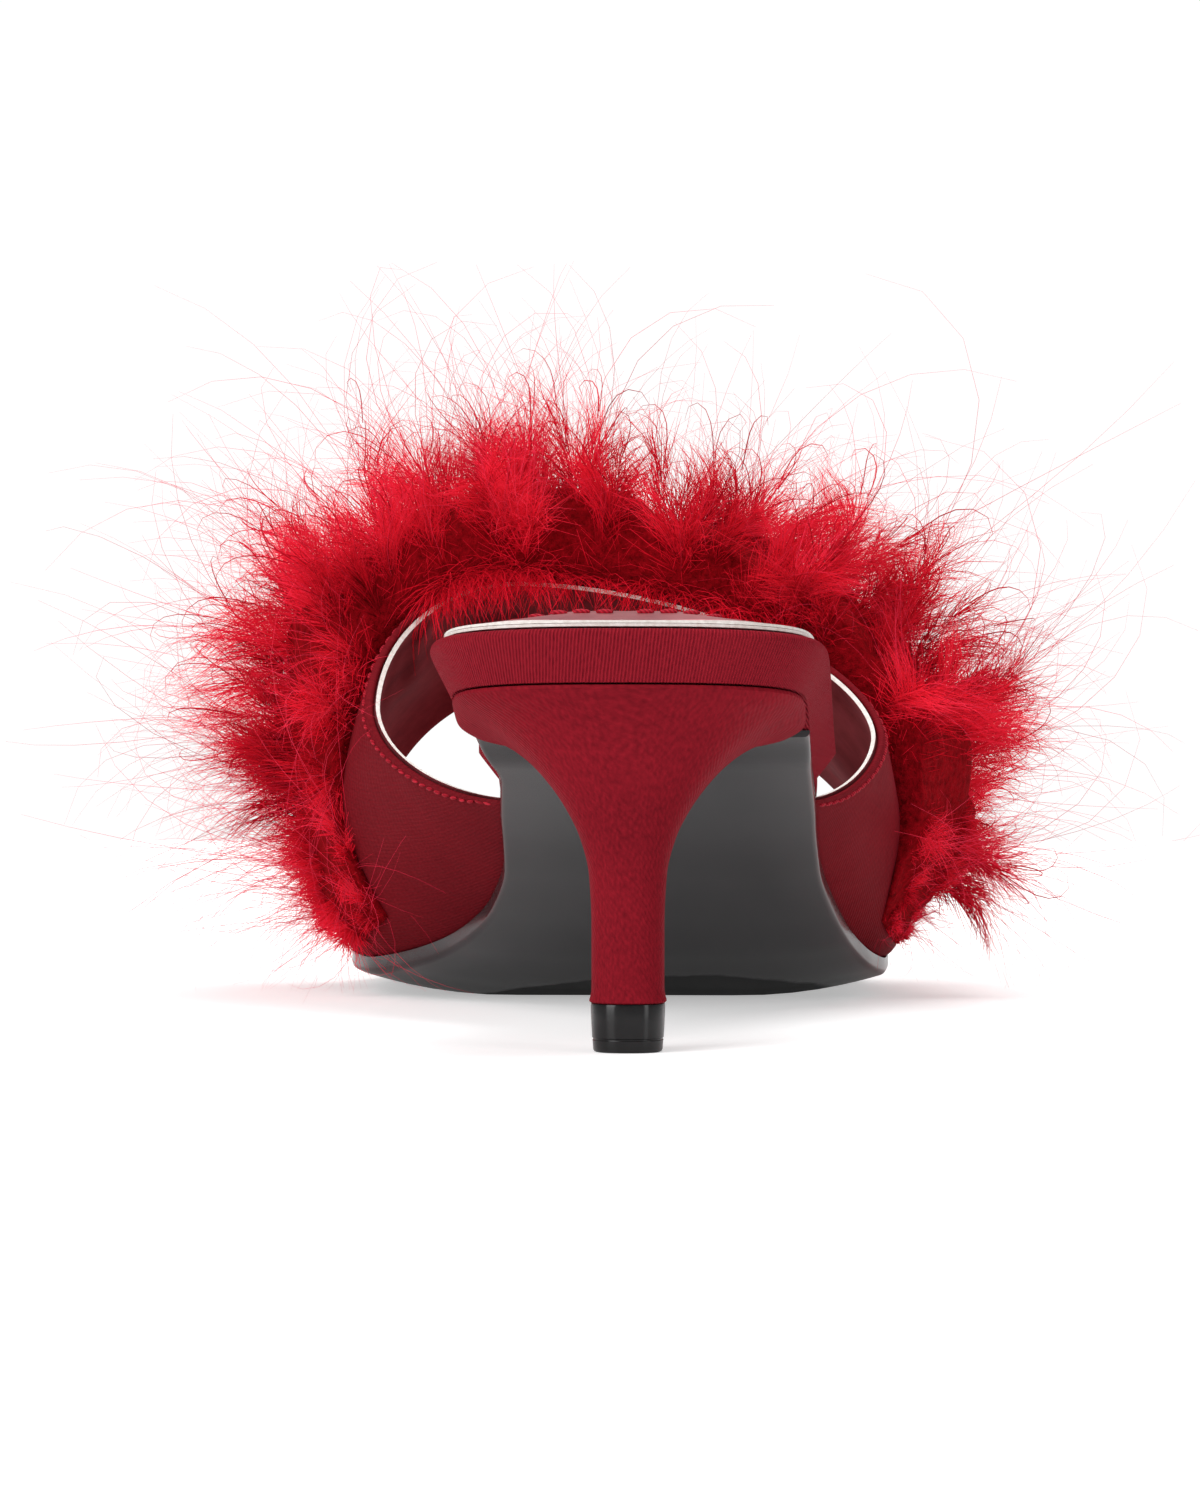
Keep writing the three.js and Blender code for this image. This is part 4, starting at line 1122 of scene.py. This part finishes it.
def heel():
    """The heel in its wrapping, ring by ring from the tip up to the seat."""
    seat = {
        "half": SEAT_WIDTH / 2,
        "back": HEEL_SETBACK - SOLE_SECTIONS[0][0] * SOLE_LENGTH,
        "front": BREAST_PLACE - HEEL_SETBACK,
        "widest": float(to_y(SEAT_END["along"])),
    }
    stem = {"half": STEM_WIDTH / 2, "back": STEM_DEPTH / 2, "front": STEM_DEPTH / 2, "widest": 0.0}
    rings = []
    tip_levels, seat_levels = [0, 0.004, 0.01, 0.02], [0.98, 0.988, 0.995, 1]
    levels = np.concatenate([tip_levels, np.linspace(0.035, 0.965, 60), seat_levels])
    for level in levels:
        size = {key: mix(stem[key], seat[key], float(heel_curve[key](level))) for key in stem}
        flare = HEEL_FLARE["out"] * math.exp(-((level / HEEL_FLARE["over"]) ** 2))
        lip = HEEL_LIP["out"] * float(smooth(level, *HEEL_LIP["comes"]))
        lip -= HEEL_LIP["turned_in"] * float(smooth(level, *HEEL_LIP["turns"]))
        hem = HEEL_HEM["in"] * math.exp(-((level / HEEL_HEM["over"]) ** 2))
        for key in ("half", "back", "front"):
            size[key] += flare + lip - hem
        size["behind"] = float(heel_curve["behind"](level))
        size["ahead"] = float(heel_curve["ahead"](level))
        centre = mix(TIP_HEIGHT, float(seat_z(0.0)), level)
        tilt = float(heel_curve["tilt"](level))
        rings.append(heel_ring(size, lambda y: centre + tilt * (seat_z(y) - seat_z(0.0))))
    return rings_solid("heel_cover", np.array(rings), [HEEL_SATIN])


# The top lift: the height of each ring and how far it stands in from the stem's size
TIP_PROFILE = [
    (0.0, 0.75), (0.12, 0.5), (0.35, 0.38), (1.6, 0.28), (1.72, 0.36), (1.86, 0.36),
    (1.98, 0.22), (4.0, 0.12), (6.2, 0.05), (6.55, 0.12), (6.7, 0.3),
]


def heel_tip():
    behind, ahead = HEEL_RINGS[0][-2:]
    rings = []
    for height, inset in TIP_PROFILE:
        deep = STEM_DEPTH / 2 - inset
        size = {"half": STEM_WIDTH / 2 - inset, "back": deep, "front": deep, "widest": 0.0}
        size.update(behind=behind, ahead=ahead)
        rings.append(heel_ring(size, lambda y, z=height: np.full(y.shape, z)))
    return rings_solid("top_lift", np.array(rings), [TIP_GLOSS], sharp=30)


# The upper

SATIN_WALL = 1.05
LINING_GAP = 0.1
LINING_EASE = 0.05
DEEPEST_CREASE = 0.4
ARCH_LENGTH = 190.0
TOPSTITCH_IN = 2.1
TOPSTITCH_PROUD = 0.08
# How far the satin stops short of the band's ends and the lining runs past them, as a share
SATIN_SHORT = 0.004
LINING_PAST = 0.006
ARCH_POINTS = 141
BAND_POINTS = 35

# Soft creases in the lining, in millimetres but for the first three: where on the arch each
# runs at the collar and at the toe, how far along the band it reaches, its width and depth.
LINING_CREASES = [
    (0.12, 0.15, 0.75, 3.5, 0.65),
    (0.17, 0.19, 0.55, 3.0, -0.55),
    (0.22, 0.24, 0.90, 3.5, 0.75),
    (0.28, 0.29, 0.60, 3.0, -0.60),
    (0.34, 0.36, 0.80, 4.0, 0.65),
    (0.43, 0.42, 0.60, 6.5, -0.30),
    (0.55, 0.55, 0.70, 7.0, 0.35),
    (0.66, 0.64, 0.80, 6.0, -0.35),
    (0.74, 0.73, 0.85, 5.0, 0.50),
    (0.80, 0.78, 0.60, 3.0, -0.55),
    (0.87, 0.85, 0.75, 3.5, 0.65),
]
# Soft dents in the satin panels beside the sole: place on the arch and the band, size along
# each of them and depth in millimetres
PANEL_DENTS = [
    (0.045, 0.10, 0.020, 0.10, 0.30),
    (0.10, 0.22, 0.030, 0.16, -0.35),
    (0.955, 0.12, 0.020, 0.12, 0.30),
    (0.90, 0.26, 0.030, 0.15, -0.30),
    (0.05, 0.45, 0.020, 0.12, 0.25),
    (0.95, 0.50, 0.020, 0.12, 0.25),
]


def arch_grid(band_start=0.0, band_end=1.0):
    around = np.linspace(0, 1, ARCH_POINTS)
    band = np.linspace(band_start, band_end, BAND_POINTS)
    return np.meshgrid(around, band)


def lining_relief(around, band):
    """How far the lining swells into the shoe at a place."""
    relief = np.zeros(np.broadcast(around, band).shape)
    for at_collar, at_toe, reach, width, depth in LINING_CREASES:
        away = (around - mix(at_collar, at_toe, band)) * ARCH_LENGTH
        fade = 1 - smooth(band, reach * 0.5, reach)
        relief += depth * fade * np.exp(-((away / width) ** 2))
    return relief


def panel_relief(around, band):
    relief = np.zeros(np.broadcast(around, band).shape)
    for at_arch, at_band, arch_size, band_size, depth in PANEL_DENTS:
        spread = ((around - at_arch) / arch_size) ** 2 + ((band - at_band) / band_size) ** 2
        relief += depth * np.exp(-spread)
    return relief


def upper_layer(inset, relief=None, band_start=0.0, band_end=1.0):
    around, band = arch_grid(band_start, band_end)
    layer = upper_point(around, band, inset)
    if relief is not None:
        outward = upper_frame(around, np.clip(band, 0.004, 0.996), inset)[1]
        layer = layer + outward * relief(around, band)[..., None]
    return layer


def upper_uv(layers):
    """How far round the arch and forward of the collar each point lies."""
    spans = np.linalg.norm(np.diff(layers[0], axis=1), axis=2)
    round_arch = np.concatenate([np.zeros((len(spans), 1)), np.cumsum(spans, axis=1)], axis=1)
    round_arch -= round_arch[:, [ARCH_POINTS // 2]]
    forward = layers[0][..., 1]
    return np.tile(np.stack([round_arch, forward], -1).reshape(-1, 2), (len(layers), 1))


def satin_band():
    """The satin outside of the upper, turned in at the collar and at the toe."""
    edge = SATIN_SHORT
    layers = [
        upper_layer(SATIN_WALL, None, edge, 1 - edge),
        upper_layer(SATIN_WALL * 0.7, None, edge * 0.3, 1 - edge * 0.3),
        upper_layer(SATIN_WALL * 0.3, panel_relief, edge * 0.3, 1 - edge * 0.3),
        upper_layer(0.0, panel_relief, edge * 1.3, 1 - edge * 1.3),
    ]
    return solid("satin_band", layers, [BAND_SATIN_SHADED], uv=upper_uv(layers), sharp=60)


def lining_band():
    """The lining, with its cream cut edge standing just past the satin."""
    edge = LINING_PAST
    inner = WALL - LINING_EASE

    def swell(around, band):
        return -np.maximum(lining_relief(around, band), -DEEPEST_CREASE) * smooth(band, 0.0, 0.08)

    layers = [
        upper_layer(SATIN_WALL + LINING_GAP, None, -edge, 1 + edge * 0.5),
        upper_layer(inner, swell, -edge, 1 + edge * 0.5),
    ]
    skins = [LINING_WITH_PAINTED_SHADE, CUT_EDGE]
    return solid("lining_band", layers, skins, slot_of_kind=(0, 0, 1), uv=upper_uv(layers), sharp=50)


def topstitch(name, at_toe):
    """A row of stitches a little inside the collar's or the toe opening's edge."""
    around = np.linspace(0.012, 0.988, 500)
    near, far = (1.0, 0.96) if at_toe else (0.0, 0.04)
    span = np.linalg.norm(upper_point(around, far) - upper_point(around, near), axis=-1)
    band = near + (far - near) * TOPSTITCH_IN / span
    point, outward, _, _ = upper_frame(around, band)
    relief = panel_relief(around, band)[:, None]
    seam(name, point + outward * (relief + TOPSTITCH_PROUD), outward, THREAD)


# The feathers

FEATHER_SEED = 20417
# Where on the band the feathers begin and end, and the share of the arch left bare at each foot
FEATHER_EDGES = {"rear_crest": 0.02, "rear_foot": 0.5, "front_crest": 0.97, "front_foot": 0.95}
FEATHER_BARE = 2 / 34
# Tufts and plumes: how many there are round the arch and along the band, how much each wanders
# from its place and its size, how far a tuft pulls its plumes' tips in, and their painted shade,
# which falls by the millimetre away from the tuft's root, so that the down is painted dark in the
# valleys between tufts
TUFTS = {"round": 13, "along": 5, "wander": 0.3, "size": (0.9, 1.3), "pull": (0.35, 0.8)}
PLUME = {"round": 30, "along": 14, "wander": 0.16, "size": (0.7, 1.35), "size_spread": 0.14}
PLUME_PAINTED_SHADE = {"full": 0.92, "fall": 0.075, "tuft_spread": 0.13, "spread": 0.08, "least": 0.22}
# A plume's tip ends short of the down's depth, which its threads then fill
PLUME_TIP = {"short": 3.5, "least": 1.5}
# Near the sole, within this share of the arch, plumes lean less and rise more
PLUME_FOOT = {"share": 0.2, "lean": 0.45, "rise": 0.25}
# The core's depth as a share of the down's, what a tuft adds to it and how wide the tuft is, how far
# it leans, and its shade, which paints it dark as the shade deep inside the down
CORE = {"depth": 0.46, "tuft": 0.26, "tuft_round": 0.045, "tuft_along": 0.14, "lean": 0.35, "shade": 0.3}
# The room for feathers: its height over the floor, and how far past the solids' box it goes
FLOOR_GAP = 1.2
BOX_ROOM = 0.03
CLOTH_ROOM = 10
BOX_MARGIN = 1.5

# Depth of the dense down in millimetres, from the medial foot, 0, to the lateral foot, 1
DOWN_DEPTH = [
    (0.0, 1.5), (0.06, 3), (0.12, 5.5), (0.17, 11), (0.23, 19), (0.31, 24), (0.4, 25), (0.5, 25),
    (0.57, 27.5), (0.65, 26), (0.75, 24), (0.84, 18.5), (0.9, 7), (0.94, 2), (1.0, 0.8),
]
# How long its threads are there, as a share
DOWN_LENGTH = [(0.0, 1.0), (0.86, 1.0), (0.92, 0.45), (1.0, 0.2)]
# And its share of that from the collar, 0, to the toe opening, 1
DOWN_ACROSS = [(0.0, 0.5), (0.12, 0.8), (0.3, 1.0), (0.7, 1.0), (0.9, 0.8), (1.0, 0.5)]
# How far plumes lean back, below 0, or forward, from the collar to the toe opening
DOWN_LEAN = [(0.0, -1.25), (0.1, -0.8), (0.25, -0.35), (0.5, -0.05), (0.75, 0.3), (1.0, 0.95)]


def feather_place(around, band):
    """Where a point of the feathers lies on the upper. band goes from the feathers' rear edge
    to their front edge."""
    on_arch = mix(FEATHER_BARE, 1 - FEATHER_BARE, around)
    low = (1 - np.sin(math.pi * on_arch)) ** 1.3
    rear = mix(FEATHER_EDGES["rear_crest"], FEATHER_EDGES["rear_foot"], low)
    front = mix(FEATHER_EDGES["front_crest"], FEATHER_EDGES["front_foot"], low)
    return on_arch, mix(rear, front, band)


def table_at(table, place):
    places, values = zip(*table)
    return np.interp(place, places, values)


def depth_at(around, band):
    return table_at(DOWN_DEPTH, around) * table_at(DOWN_ACROSS, band)


def scattered(rng, count_round, count_along):
    """Places on the feathers' ground, one at random in each cell of a grid."""
    shape = (count_along, count_round)
    around = (np.arange(count_round)[None] + rng.random(shape)) / count_round
    band = (np.arange(count_along)[:, None] + rng.random(shape)) / count_along
    return around.ravel(), band.ravel()


def leaning(rng, around, band, wander):
    """Roots on the upper, the directions in which what grows there leans, and how far each is
    from the sole, from 0 to 1."""
    point, outward, forward, sideways = upper_frame(*feather_place(around, band))
    low = smooth(np.minimum(around, 1 - around), 0, PLUME_FOOT["share"])
    lean = table_at(DOWN_LEAN, band) * mix(PLUME_FOOT["lean"], 1, low)
    axis = outward + forward * (lean + wander * rng.standard_normal(len(around)))[:, None]
    axis += sideways * (wander * rng.standard_normal(len(around)))[:, None]
    axis[:, 2] += np.where(low < 0.5, PLUME_FOOT["rise"], 0.0)
    return point, unit(axis), low


def plumes():
    """Roots, directions and sizes of the plumes, spread evenly over the band and drawn together
    into tufts, with painted shade that makes them bright on top and dark between."""
    rng = np.random.default_rng(FEATHER_SEED)
    tuft_around, tuft_band = scattered(rng, TUFTS["round"], TUFTS["along"])
    tuft_root, tuft_axis, _ = leaning(rng, tuft_around, tuft_band, TUFTS["wander"])
    tuft_size = rng.uniform(*TUFTS["size"], len(tuft_around))
    tuft_tip = tuft_root + tuft_axis * (depth_at(tuft_around, tuft_band) * tuft_size)[:, None]
    around, band = scattered(rng, PLUME["round"], PLUME["along"])
    root, axis, low = leaning(rng, around, band, PLUME["wander"])
    count = len(around)
    size = np.clip(np.exp(PLUME["size_spread"] * rng.standard_normal(count)), *PLUME["size"])
    tip = root + axis * (depth_at(around, band) * size)[:, None]
    away = np.linalg.norm(root[:, None] - tuft_root[None], axis=2)
    nearest = away.argmin(1)
    away = away.min(1)
    pull = rng.uniform(*TUFTS["pull"], count)[:, None]
    tip = mix(tip, tuft_tip[nearest], pull)
    axis = unit(tip - root)
    bend = rng.standard_normal((count, 3))
    bend = unit(bend - axis * np.sum(bend * axis, -1, keepdims=True))
    # Painted shade: a plume is darker the farther its root lies from its tuft's
    spread = PLUME_PAINTED_SHADE["tuft_spread"]
    shade = PLUME_PAINTED_SHADE["full"] - PLUME_PAINTED_SHADE["fall"] * away
    shade += rng.uniform(-spread, spread, len(tuft_around))[nearest]
    shade += PLUME_PAINTED_SHADE["spread"] * rng.standard_normal(count)
    found = {
        "root": root,
        "axis": axis,
        "bend": bend,
        "low": low,
        "size": size,
        "length": np.maximum(np.linalg.norm(tip - root, axis=1) - PLUME_TIP["short"], PLUME_TIP["least"]),
        "around": around,
        "shade": np.clip(shade, PLUME_PAINTED_SHADE["least"], 1),
        "gather": np.clip(rng.normal(0.35, 0.3, count), 0, 0.9),
    }
    return found, (tuft_around, tuft_band, tuft_size)


PLUMES, TUFT_PLACES = plumes()


def core():
    """The dense down near the band, which no light passes, swollen under each tuft and painted dark as
    the shade deep inside the down.
    """
    around, band = np.meshgrid(np.linspace(0, 1, 170), np.linspace(0, 1, 40))
    point, outward, forward, _ = upper_frame(*feather_place(around, band))
    swell = np.zeros(around.shape)
    for at_around, at_band, size in zip(*TUFT_PLACES):
        spread = ((around - at_around) / CORE["tuft_round"]) ** 2
        spread += ((band - at_band) / CORE["tuft_along"]) ** 2
        swell = np.maximum(swell, np.exp(-spread) * size)
    depth = depth_at(around, band) * (CORE["depth"] + CORE["tuft"] * swell)
    lean = table_at(DOWN_LEAN, band)
    surface = point + outward * depth[..., None] + forward * (CORE["lean"] * lean * depth)[..., None]
    surface[..., 2] = np.maximum(surface[..., 2], FLOOR_GAP + 2)
    layers = [point - outward * 0.1, surface]
    mesh = solid("down_core", layers, [DOWNS["core_down"]], sharp=180).data
    # Painted shade: a low shade and reach colour the whole core dark
    for name in ("shade", "reach"):
        set_values(mesh, name, "FLOAT", np.full(len(mesh.vertices), CORE["shade"]))


# The rows of down, all on the same plumes: a piece's name and its down, how many threads a plume
# has, the points of a thread, the part of the plume that it leaves, its length and width in
# millimetres, the share of the length left near the sole, how far it spreads from the plume, how
# far it turns in all and how late, how much it droops and how much its tip gathers to the
# plume's own, and the part of the arch that has such threads.
ROW_COLUMNS = (
    "name", "down", "threads", "steps", "leaves", "length", "width",
    "foot", "spread", "turn", "late", "droop", "gather", "where",
)
DOWN_ROWS = [
    ("down_under", "down", 37, 2, (0.05, 0.85), (4, 8), 0.22,
     0.45, 1.4, (0, 0.3), 1, 0.1, 0.1, (0, 1)),
    ("down_middle", "down", 33, 3, (0.4, 1.0), (5, 9), 0.17,
     0.45, 1.2, (0.3, 1.4), 1, 0.1, 0.35, (0, 1)),
    ("down_outer", "outer_down", 33, 3, (0.65, 1.1), (5, 11), 0.13,
     0.45, 0.9, (0.3, 1.4), 1, 0.1, 0.8, (0, 1)),
    ("down_long", "long_down", 11, 5, (0.6, 1.1), (8, 18), 0.085,
     0.6, 0.6, (0.3, 1.8), 1, 0.15, 0.9, (0, 1)),
    ("down_wisps", "wisp_down", 5, 7, (0.5, 1.1), (14, 46), 0.075,
     1.0, 0.45, (0.3, 2.3), 1.5, 0.2, 0.3, (0, 1)),
    ("down_curls", "curl_down", 2, 8, (0.9, 1.35), (8, 16), 0.19,
     0.6, 0.5, (2.2, 4.6), 2.6, 0.1, 0.3, (0.2, 0.85)),
    ("down_crown", "outer_down", 24, 3, (0.7, 1.15), (5, 11), 0.15,
     0.45, 1.0, (0.3, 1.4), 1, 0.1, 0.6, (0.46, 0.84)),
]
# Threads that hang over the collar's edge at the crest, so that little of it shows: from where
# to where on the arch each part of them grows, and its share of them
FRINGE = {
    "threads": 1250,
    "steps": 5,
    "length": (6, 15),
    "width": 0.14,
    "parts": [(0.36, 0.40, 0.08), (0.385, 0.53, 0.55), (0.53, 0.59, 0.09), (0.585, 0.68, 0.28)],
    "turn": (1.1, 2.3),
    "late": 0.8,
    "droop": 0.25,
}
# How far a plume bends aside at its tip, as a share of its length
PLUME_BEND = 0.2


def room():
    """The lowest and highest corner that the feathers may reach."""
    low, high = np.array(cad_box[0]) / MM, np.array(cad_box[1]) / MM
    more = (high - low) * BOX_ROOM + CLOTH_ROOM - BOX_MARGIN
    low, high = low - more, high + more
    low[2] = FLOOR_GAP
    return low, high


def grown(rng, root, leaving, length, form, aside=None):
    """Lines that leave their roots in a direction and turn by an angle on their way."""
    steps = form["steps"]
    if aside is None:
        aside = rng.standard_normal(root.shape)
    aside = unit(aside - leaving * np.sum(aside * leaving, -1, keepdims=True))
    turned = rng.uniform(*form["turn"], root.shape[:-1])
    way = (np.arange(steps - 1) + 0.5) / (steps - 1)
    angle = (turned[..., None] * way ** form["late"])[..., None]
    heading = np.cos(angle) * leaving[..., None, :] + np.sin(angle) * aside[..., None, :]
    heading[..., 2] -= form["droop"] * way
    pace = unit(heading) * (length / (steps - 1))[..., None, None]
    start = np.zeros(pace.shape[:-2] + (1, 3))
    return root[..., None, :] + np.concatenate([start, np.cumsum(pace, axis=-2)], axis=-2)


def thread_widths(rng, form, count):
    taper = np.interp(np.linspace(0, 1, form["steps"]), [0, 0.3, 1], [0.8, 1.0, 0.25])
    return form["width"] * taper[None] * rng.uniform(0.75, 1.25, count)[:, None]


def down_row(rng, form):
    """Lines, widths and painted shade values of one row's threads."""
    low, high = form["where"]
    chosen = (PLUMES["around"] >= low) & (PLUMES["around"] <= high)
    row = {key: value[chosen] for key, value in PLUMES.items()}
    count, per = int(chosen.sum()), form["threads"]
    axis, bend = row["axis"][:, None], row["bend"][:, None]
    leaves = rng.uniform(*form["leaves"], (count, per))
    plume = row["length"][:, None]
    root = row["root"][:, None] + axis * (leaves * plume)[..., None]
    root = root + bend * (PLUME_BEND * plume * leaves**2)[..., None]
    along = unit(axis + bend * (2 * PLUME_BEND * leaves)[..., None])
    side = rng.standard_normal((count, per, 3))
    side = unit(side - along * np.sum(side * along, -1, keepdims=True))
    root = root + side * (rng.uniform(0, 1.8, (count, per)) * (1 - 0.5 * leaves))[..., None]
    spread = form["spread"] * (1.1 - 0.6 * leaves) * rng.uniform(0.35, 1.4, (count, per))
    leaving = unit(along + side * spread[..., None])
    length = mix(*form["length"], rng.uniform(0, 1, (count, per)) ** 1.5)
    share = mix(form["foot"], 1, row["low"]) * row["size"] * table_at(DOWN_LENGTH, row["around"])
    length = length * share[:, None]
    lines = grown(rng, root, leaving, length, form)
    mean_length = length.mean(1)[:, None]
    point = row["root"][:, None] + along * (plume + mean_length * 0.9)[..., None]
    point = point + bend * (0.3 * (plume + mean_length))[..., None]
    t = np.linspace(0, 1, form["steps"])
    gather = (form["gather"] * row["gather"])[:, None, None, None] * (t**2)[:, None]
    lines = lines + (point[:, :, None] - lines[:, :, -1:]) * gather
    shades = np.clip(row["shade"][:, None] + 0.1 * rng.standard_normal((count, per)), 0, 1)
    total = count * per
    return lines.reshape(total, form["steps"], 3), thread_widths(rng, form, total), shades.reshape(total)


def collar_fringe():
    """Down that grows at the collar's edge over the crest and hangs over it."""
    rng = np.random.default_rng(FEATHER_SEED + 20)
    count = FRINGE["threads"]
    part = rng.choice(len(FRINGE["parts"]), count, p=[share for _, _, share in FRINGE["parts"]])
    low, high, _ = np.array(FRINGE["parts"]).T
    around = mix(low[part], high[part], rng.random(count))
    point, outward, forward, sideways = upper_frame(around, rng.uniform(0.0, 0.06, count))
    leaving = outward * rng.uniform(0.05, 0.6, (count, 1)) - forward
    leaving = unit(leaving + sideways * (0.4 * rng.standard_normal((count, 1))))
    downward = np.array([0, 0, -1]) + 0.4 * rng.standard_normal((count, 3))
    length = mix(*FRINGE["length"], rng.random(count) ** 1.8)
    lines = grown(rng, point + outward * 0.2, leaving, length, FRINGE, downward)
    shades = np.clip(0.45 + 0.2 * rng.standard_normal(count), 0, 1)
    threads("collar_fringe", lines, thread_widths(rng, FRINGE, count), shades, DOWNS["down"])


def kept_in_room(lines):
    """The lines drawn in towards their roots where they would leave the room for them."""
    low, high = room()
    root = np.clip(lines[:, :1], low + 0.5, high - 0.5)
    offset = lines - lines[:, :1]
    with np.errstate(divide="ignore", invalid="ignore"):
        below = np.where(offset < 0, (low - root) / offset, np.inf)
        over = np.where(offset > 0, (high - root) / offset, below)
    share = np.clip(np.nan_to_num(over, nan=1.0, posinf=1e9), 0.02, 1).min(axis=(1, 2))
    return root + offset * share[:, None, None]


def feathers():
    for number, row in enumerate(DOWN_ROWS):
        form = dict(zip(ROW_COLUMNS, row))
        rng = np.random.default_rng(FEATHER_SEED + number + 1)
        lines, widths, shades = down_row(rng, form)
        threads(form["name"], kept_in_room(lines), widths, shades, DOWNS[form["down"]])
    collar_fringe()


# Stage, light and camera

# Where the camera stands, in millimetres and degrees
CAMERA = {"azimuth": 1.8, "distance": 1233, "aside": 3.79, "height": 79, "pitch": -1.77, "lens": 218.4}
# The floor in metres, its white, the gloss mixed in, how much it glows where it is seen, and the
# share of that glow that shows mirrored
FLOOR = {"side": 2.0, "near": -3.0, "far": 0.7, "white": 0.92, "gloss": 0.05, "roughness": 0.07}
FLOOR_GLOW = 0.42
MIRRORED_GLOW = 0.2
# How bright the room is where it is seen and as a light
ROOM_WHITE = 1.02
ROOM_LIGHT = 0.29
LAMPS = [
    {"name": "key", "place": (-1.0, -1.0, 0.9), "size": (0.9, 1.7), "power": 22, "aim": (0, 0.08, 0.04)},
    {"name": "fill", "place": (1.2, -0.9, 0.5), "size": (0.4, 1.1), "power": 3.5, "aim": (0, 0.08, 0.03)},
    {"name": "overhead", "place": (0.4, 0.3, 1.5), "size": (1.2, 1.2), "power": 16, "aim": (0, 0.1, 0)},
]


def stage():
    """A white floor that glows a little by itself where it is seen."""
    mesh = bpy.data.meshes.new("floor")
    side, near, far = FLOOR["side"], FLOOR["near"], FLOOR["far"]
    corners = [(-side, near, 0), (side, near, 0), (side, far, 0), (-side, far, 0)]
    mesh.from_pydata(corners, [], [(0, 1, 2, 3)])
    material = bpy.data.materials.new("white_floor")
    material.use_nodes = True
    mesh.materials.append(material)
    tree = Tree(material.node_tree)
    tree.nodes.remove(tree.nodes["Principled BSDF"])
    matt = tree.add("ShaderNodeBsdfDiffuse", {"Color": (*grey(FLOOR["white"]), 1)})
    gloss = tree.add("ShaderNodeBsdfGlossy", {"Roughness": FLOOR["roughness"]})
    mixed = {"Fac": FLOOR["gloss"], 1: matt.outputs[0], 2: gloss.outputs[0]}
    surface = tree.add("ShaderNodeMixShader", mixed)
    path = tree.add("ShaderNodeLightPath").outputs
    seen = {0: path["Is Glossy Ray"], 1: MIRRORED_GLOW, 2: path["Is Camera Ray"]}
    seen = tree.add("ShaderNodeMath", seen, operation="MULTIPLY_ADD").outputs[0]
    glowing = tree.add("ShaderNodeMath", {0: seen, 1: FLOOR_GLOW}, operation="MULTIPLY").outputs[0]
    glow = tree.add("ShaderNodeEmission", {"Strength": glowing})
    lit = tree.add("ShaderNodeAddShader", {0: surface.outputs[0], 1: glow.outputs[0]})
    tree.link(lit.outputs[0], tree.nodes["Material Output"].inputs["Surface"])
    object_of("floor", mesh)


def lights():
    world = bpy.data.worlds.new("white_room")
    bpy.context.scene.world = world
    world.use_nodes = True
    tree = Tree(world.node_tree)
    background = tree.nodes["Background"].inputs
    background["Color"].default_value = (*WHITE, 1)
    seen = tree.add("ShaderNodeLightPath").outputs["Is Camera Ray"]
    brightness = {0: seen, 1: ROOM_WHITE - ROOM_LIGHT, 2: ROOM_LIGHT}
    brightness = tree.add("ShaderNodeMath", brightness, operation="MULTIPLY_ADD").outputs[0]
    tree.link(brightness, background["Strength"])
    for lamp in LAMPS:
        data = bpy.data.lights.new(lamp["name"], "AREA")
        data.shape = "RECTANGLE"
        data.size, data.size_y = lamp["size"]
        data.energy = lamp["power"]
        light = object_of(lamp["name"], data)
        light.location = lamp["place"]
        light.rotation_euler = (Vector(lamp["aim"]) - light.location).to_track_quat("-Z", "Y").to_euler()


def camera():
    turned = math.radians(CAMERA["azimuth"])
    ahead = Vector((-math.sin(turned), math.cos(turned), 0))
    right = Vector((math.cos(turned), math.sin(turned), 0))
    place = -ahead * CAMERA["distance"] - right * CAMERA["aside"] + Vector((0, 0, CAMERA["height"]))
    data = bpy.data.cameras.new("camera")
    data.lens = CAMERA["lens"]
    data.sensor_fit = "VERTICAL"
    data.sensor_height = 36
    data.clip_end = 50
    view = object_of("camera", data)
    view.location = place * MM
    view.rotation_euler = (math.radians(90 + CAMERA["pitch"]), 0, turned)
    bpy.context.scene.camera = view


# Everything in its place

for leftover in [o for o in bpy.context.scene.objects if o.name in ("Cube", "Light", "Camera")]:
    bpy.data.objects.remove(leftover)
bpy.context.scene.view_settings.view_transform = "Standard"
camera()
lights()
stage()

# The node that each piece stands for and its material slot. All other pieces are feathers.
STANDS_FOR = {
    "outsole_sheet": ("outsole", "outsole_gloss"),
    "footbed_cover": ("footbed", "red_satin"),
    "sock_face": ("sock", "lining"),
    "sock_board": ("sock", "lining"),
    "heel_cover": ("heel", "red_satin"),
    "top_lift": ("heel_tip", "tip_gloss"),
    "satin_band": ("vamp", "red_satin"),
    "lining_band": ("vamp", "lining"),
    "collar_topstitch": (None, "red_satin"),
    "toe_topstitch": (None, "red_satin"),
    "sock_stitch": (None, "red_satin"),
}

outsole()
footbed()
sock("sock_board")
sock("sock_face")
sock_seam()
heel()
heel_tip()
satin_band()
lining_band()
topstitch("collar_topstitch", False)
topstitch("toe_topstitch", True)
core()
feathers()

for name, piece in PIECES.items():
    node, slot = STANDS_FOR.get(name, ("marabou", "feathers"))
    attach(piece, "root")
    if node:
        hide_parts(node)
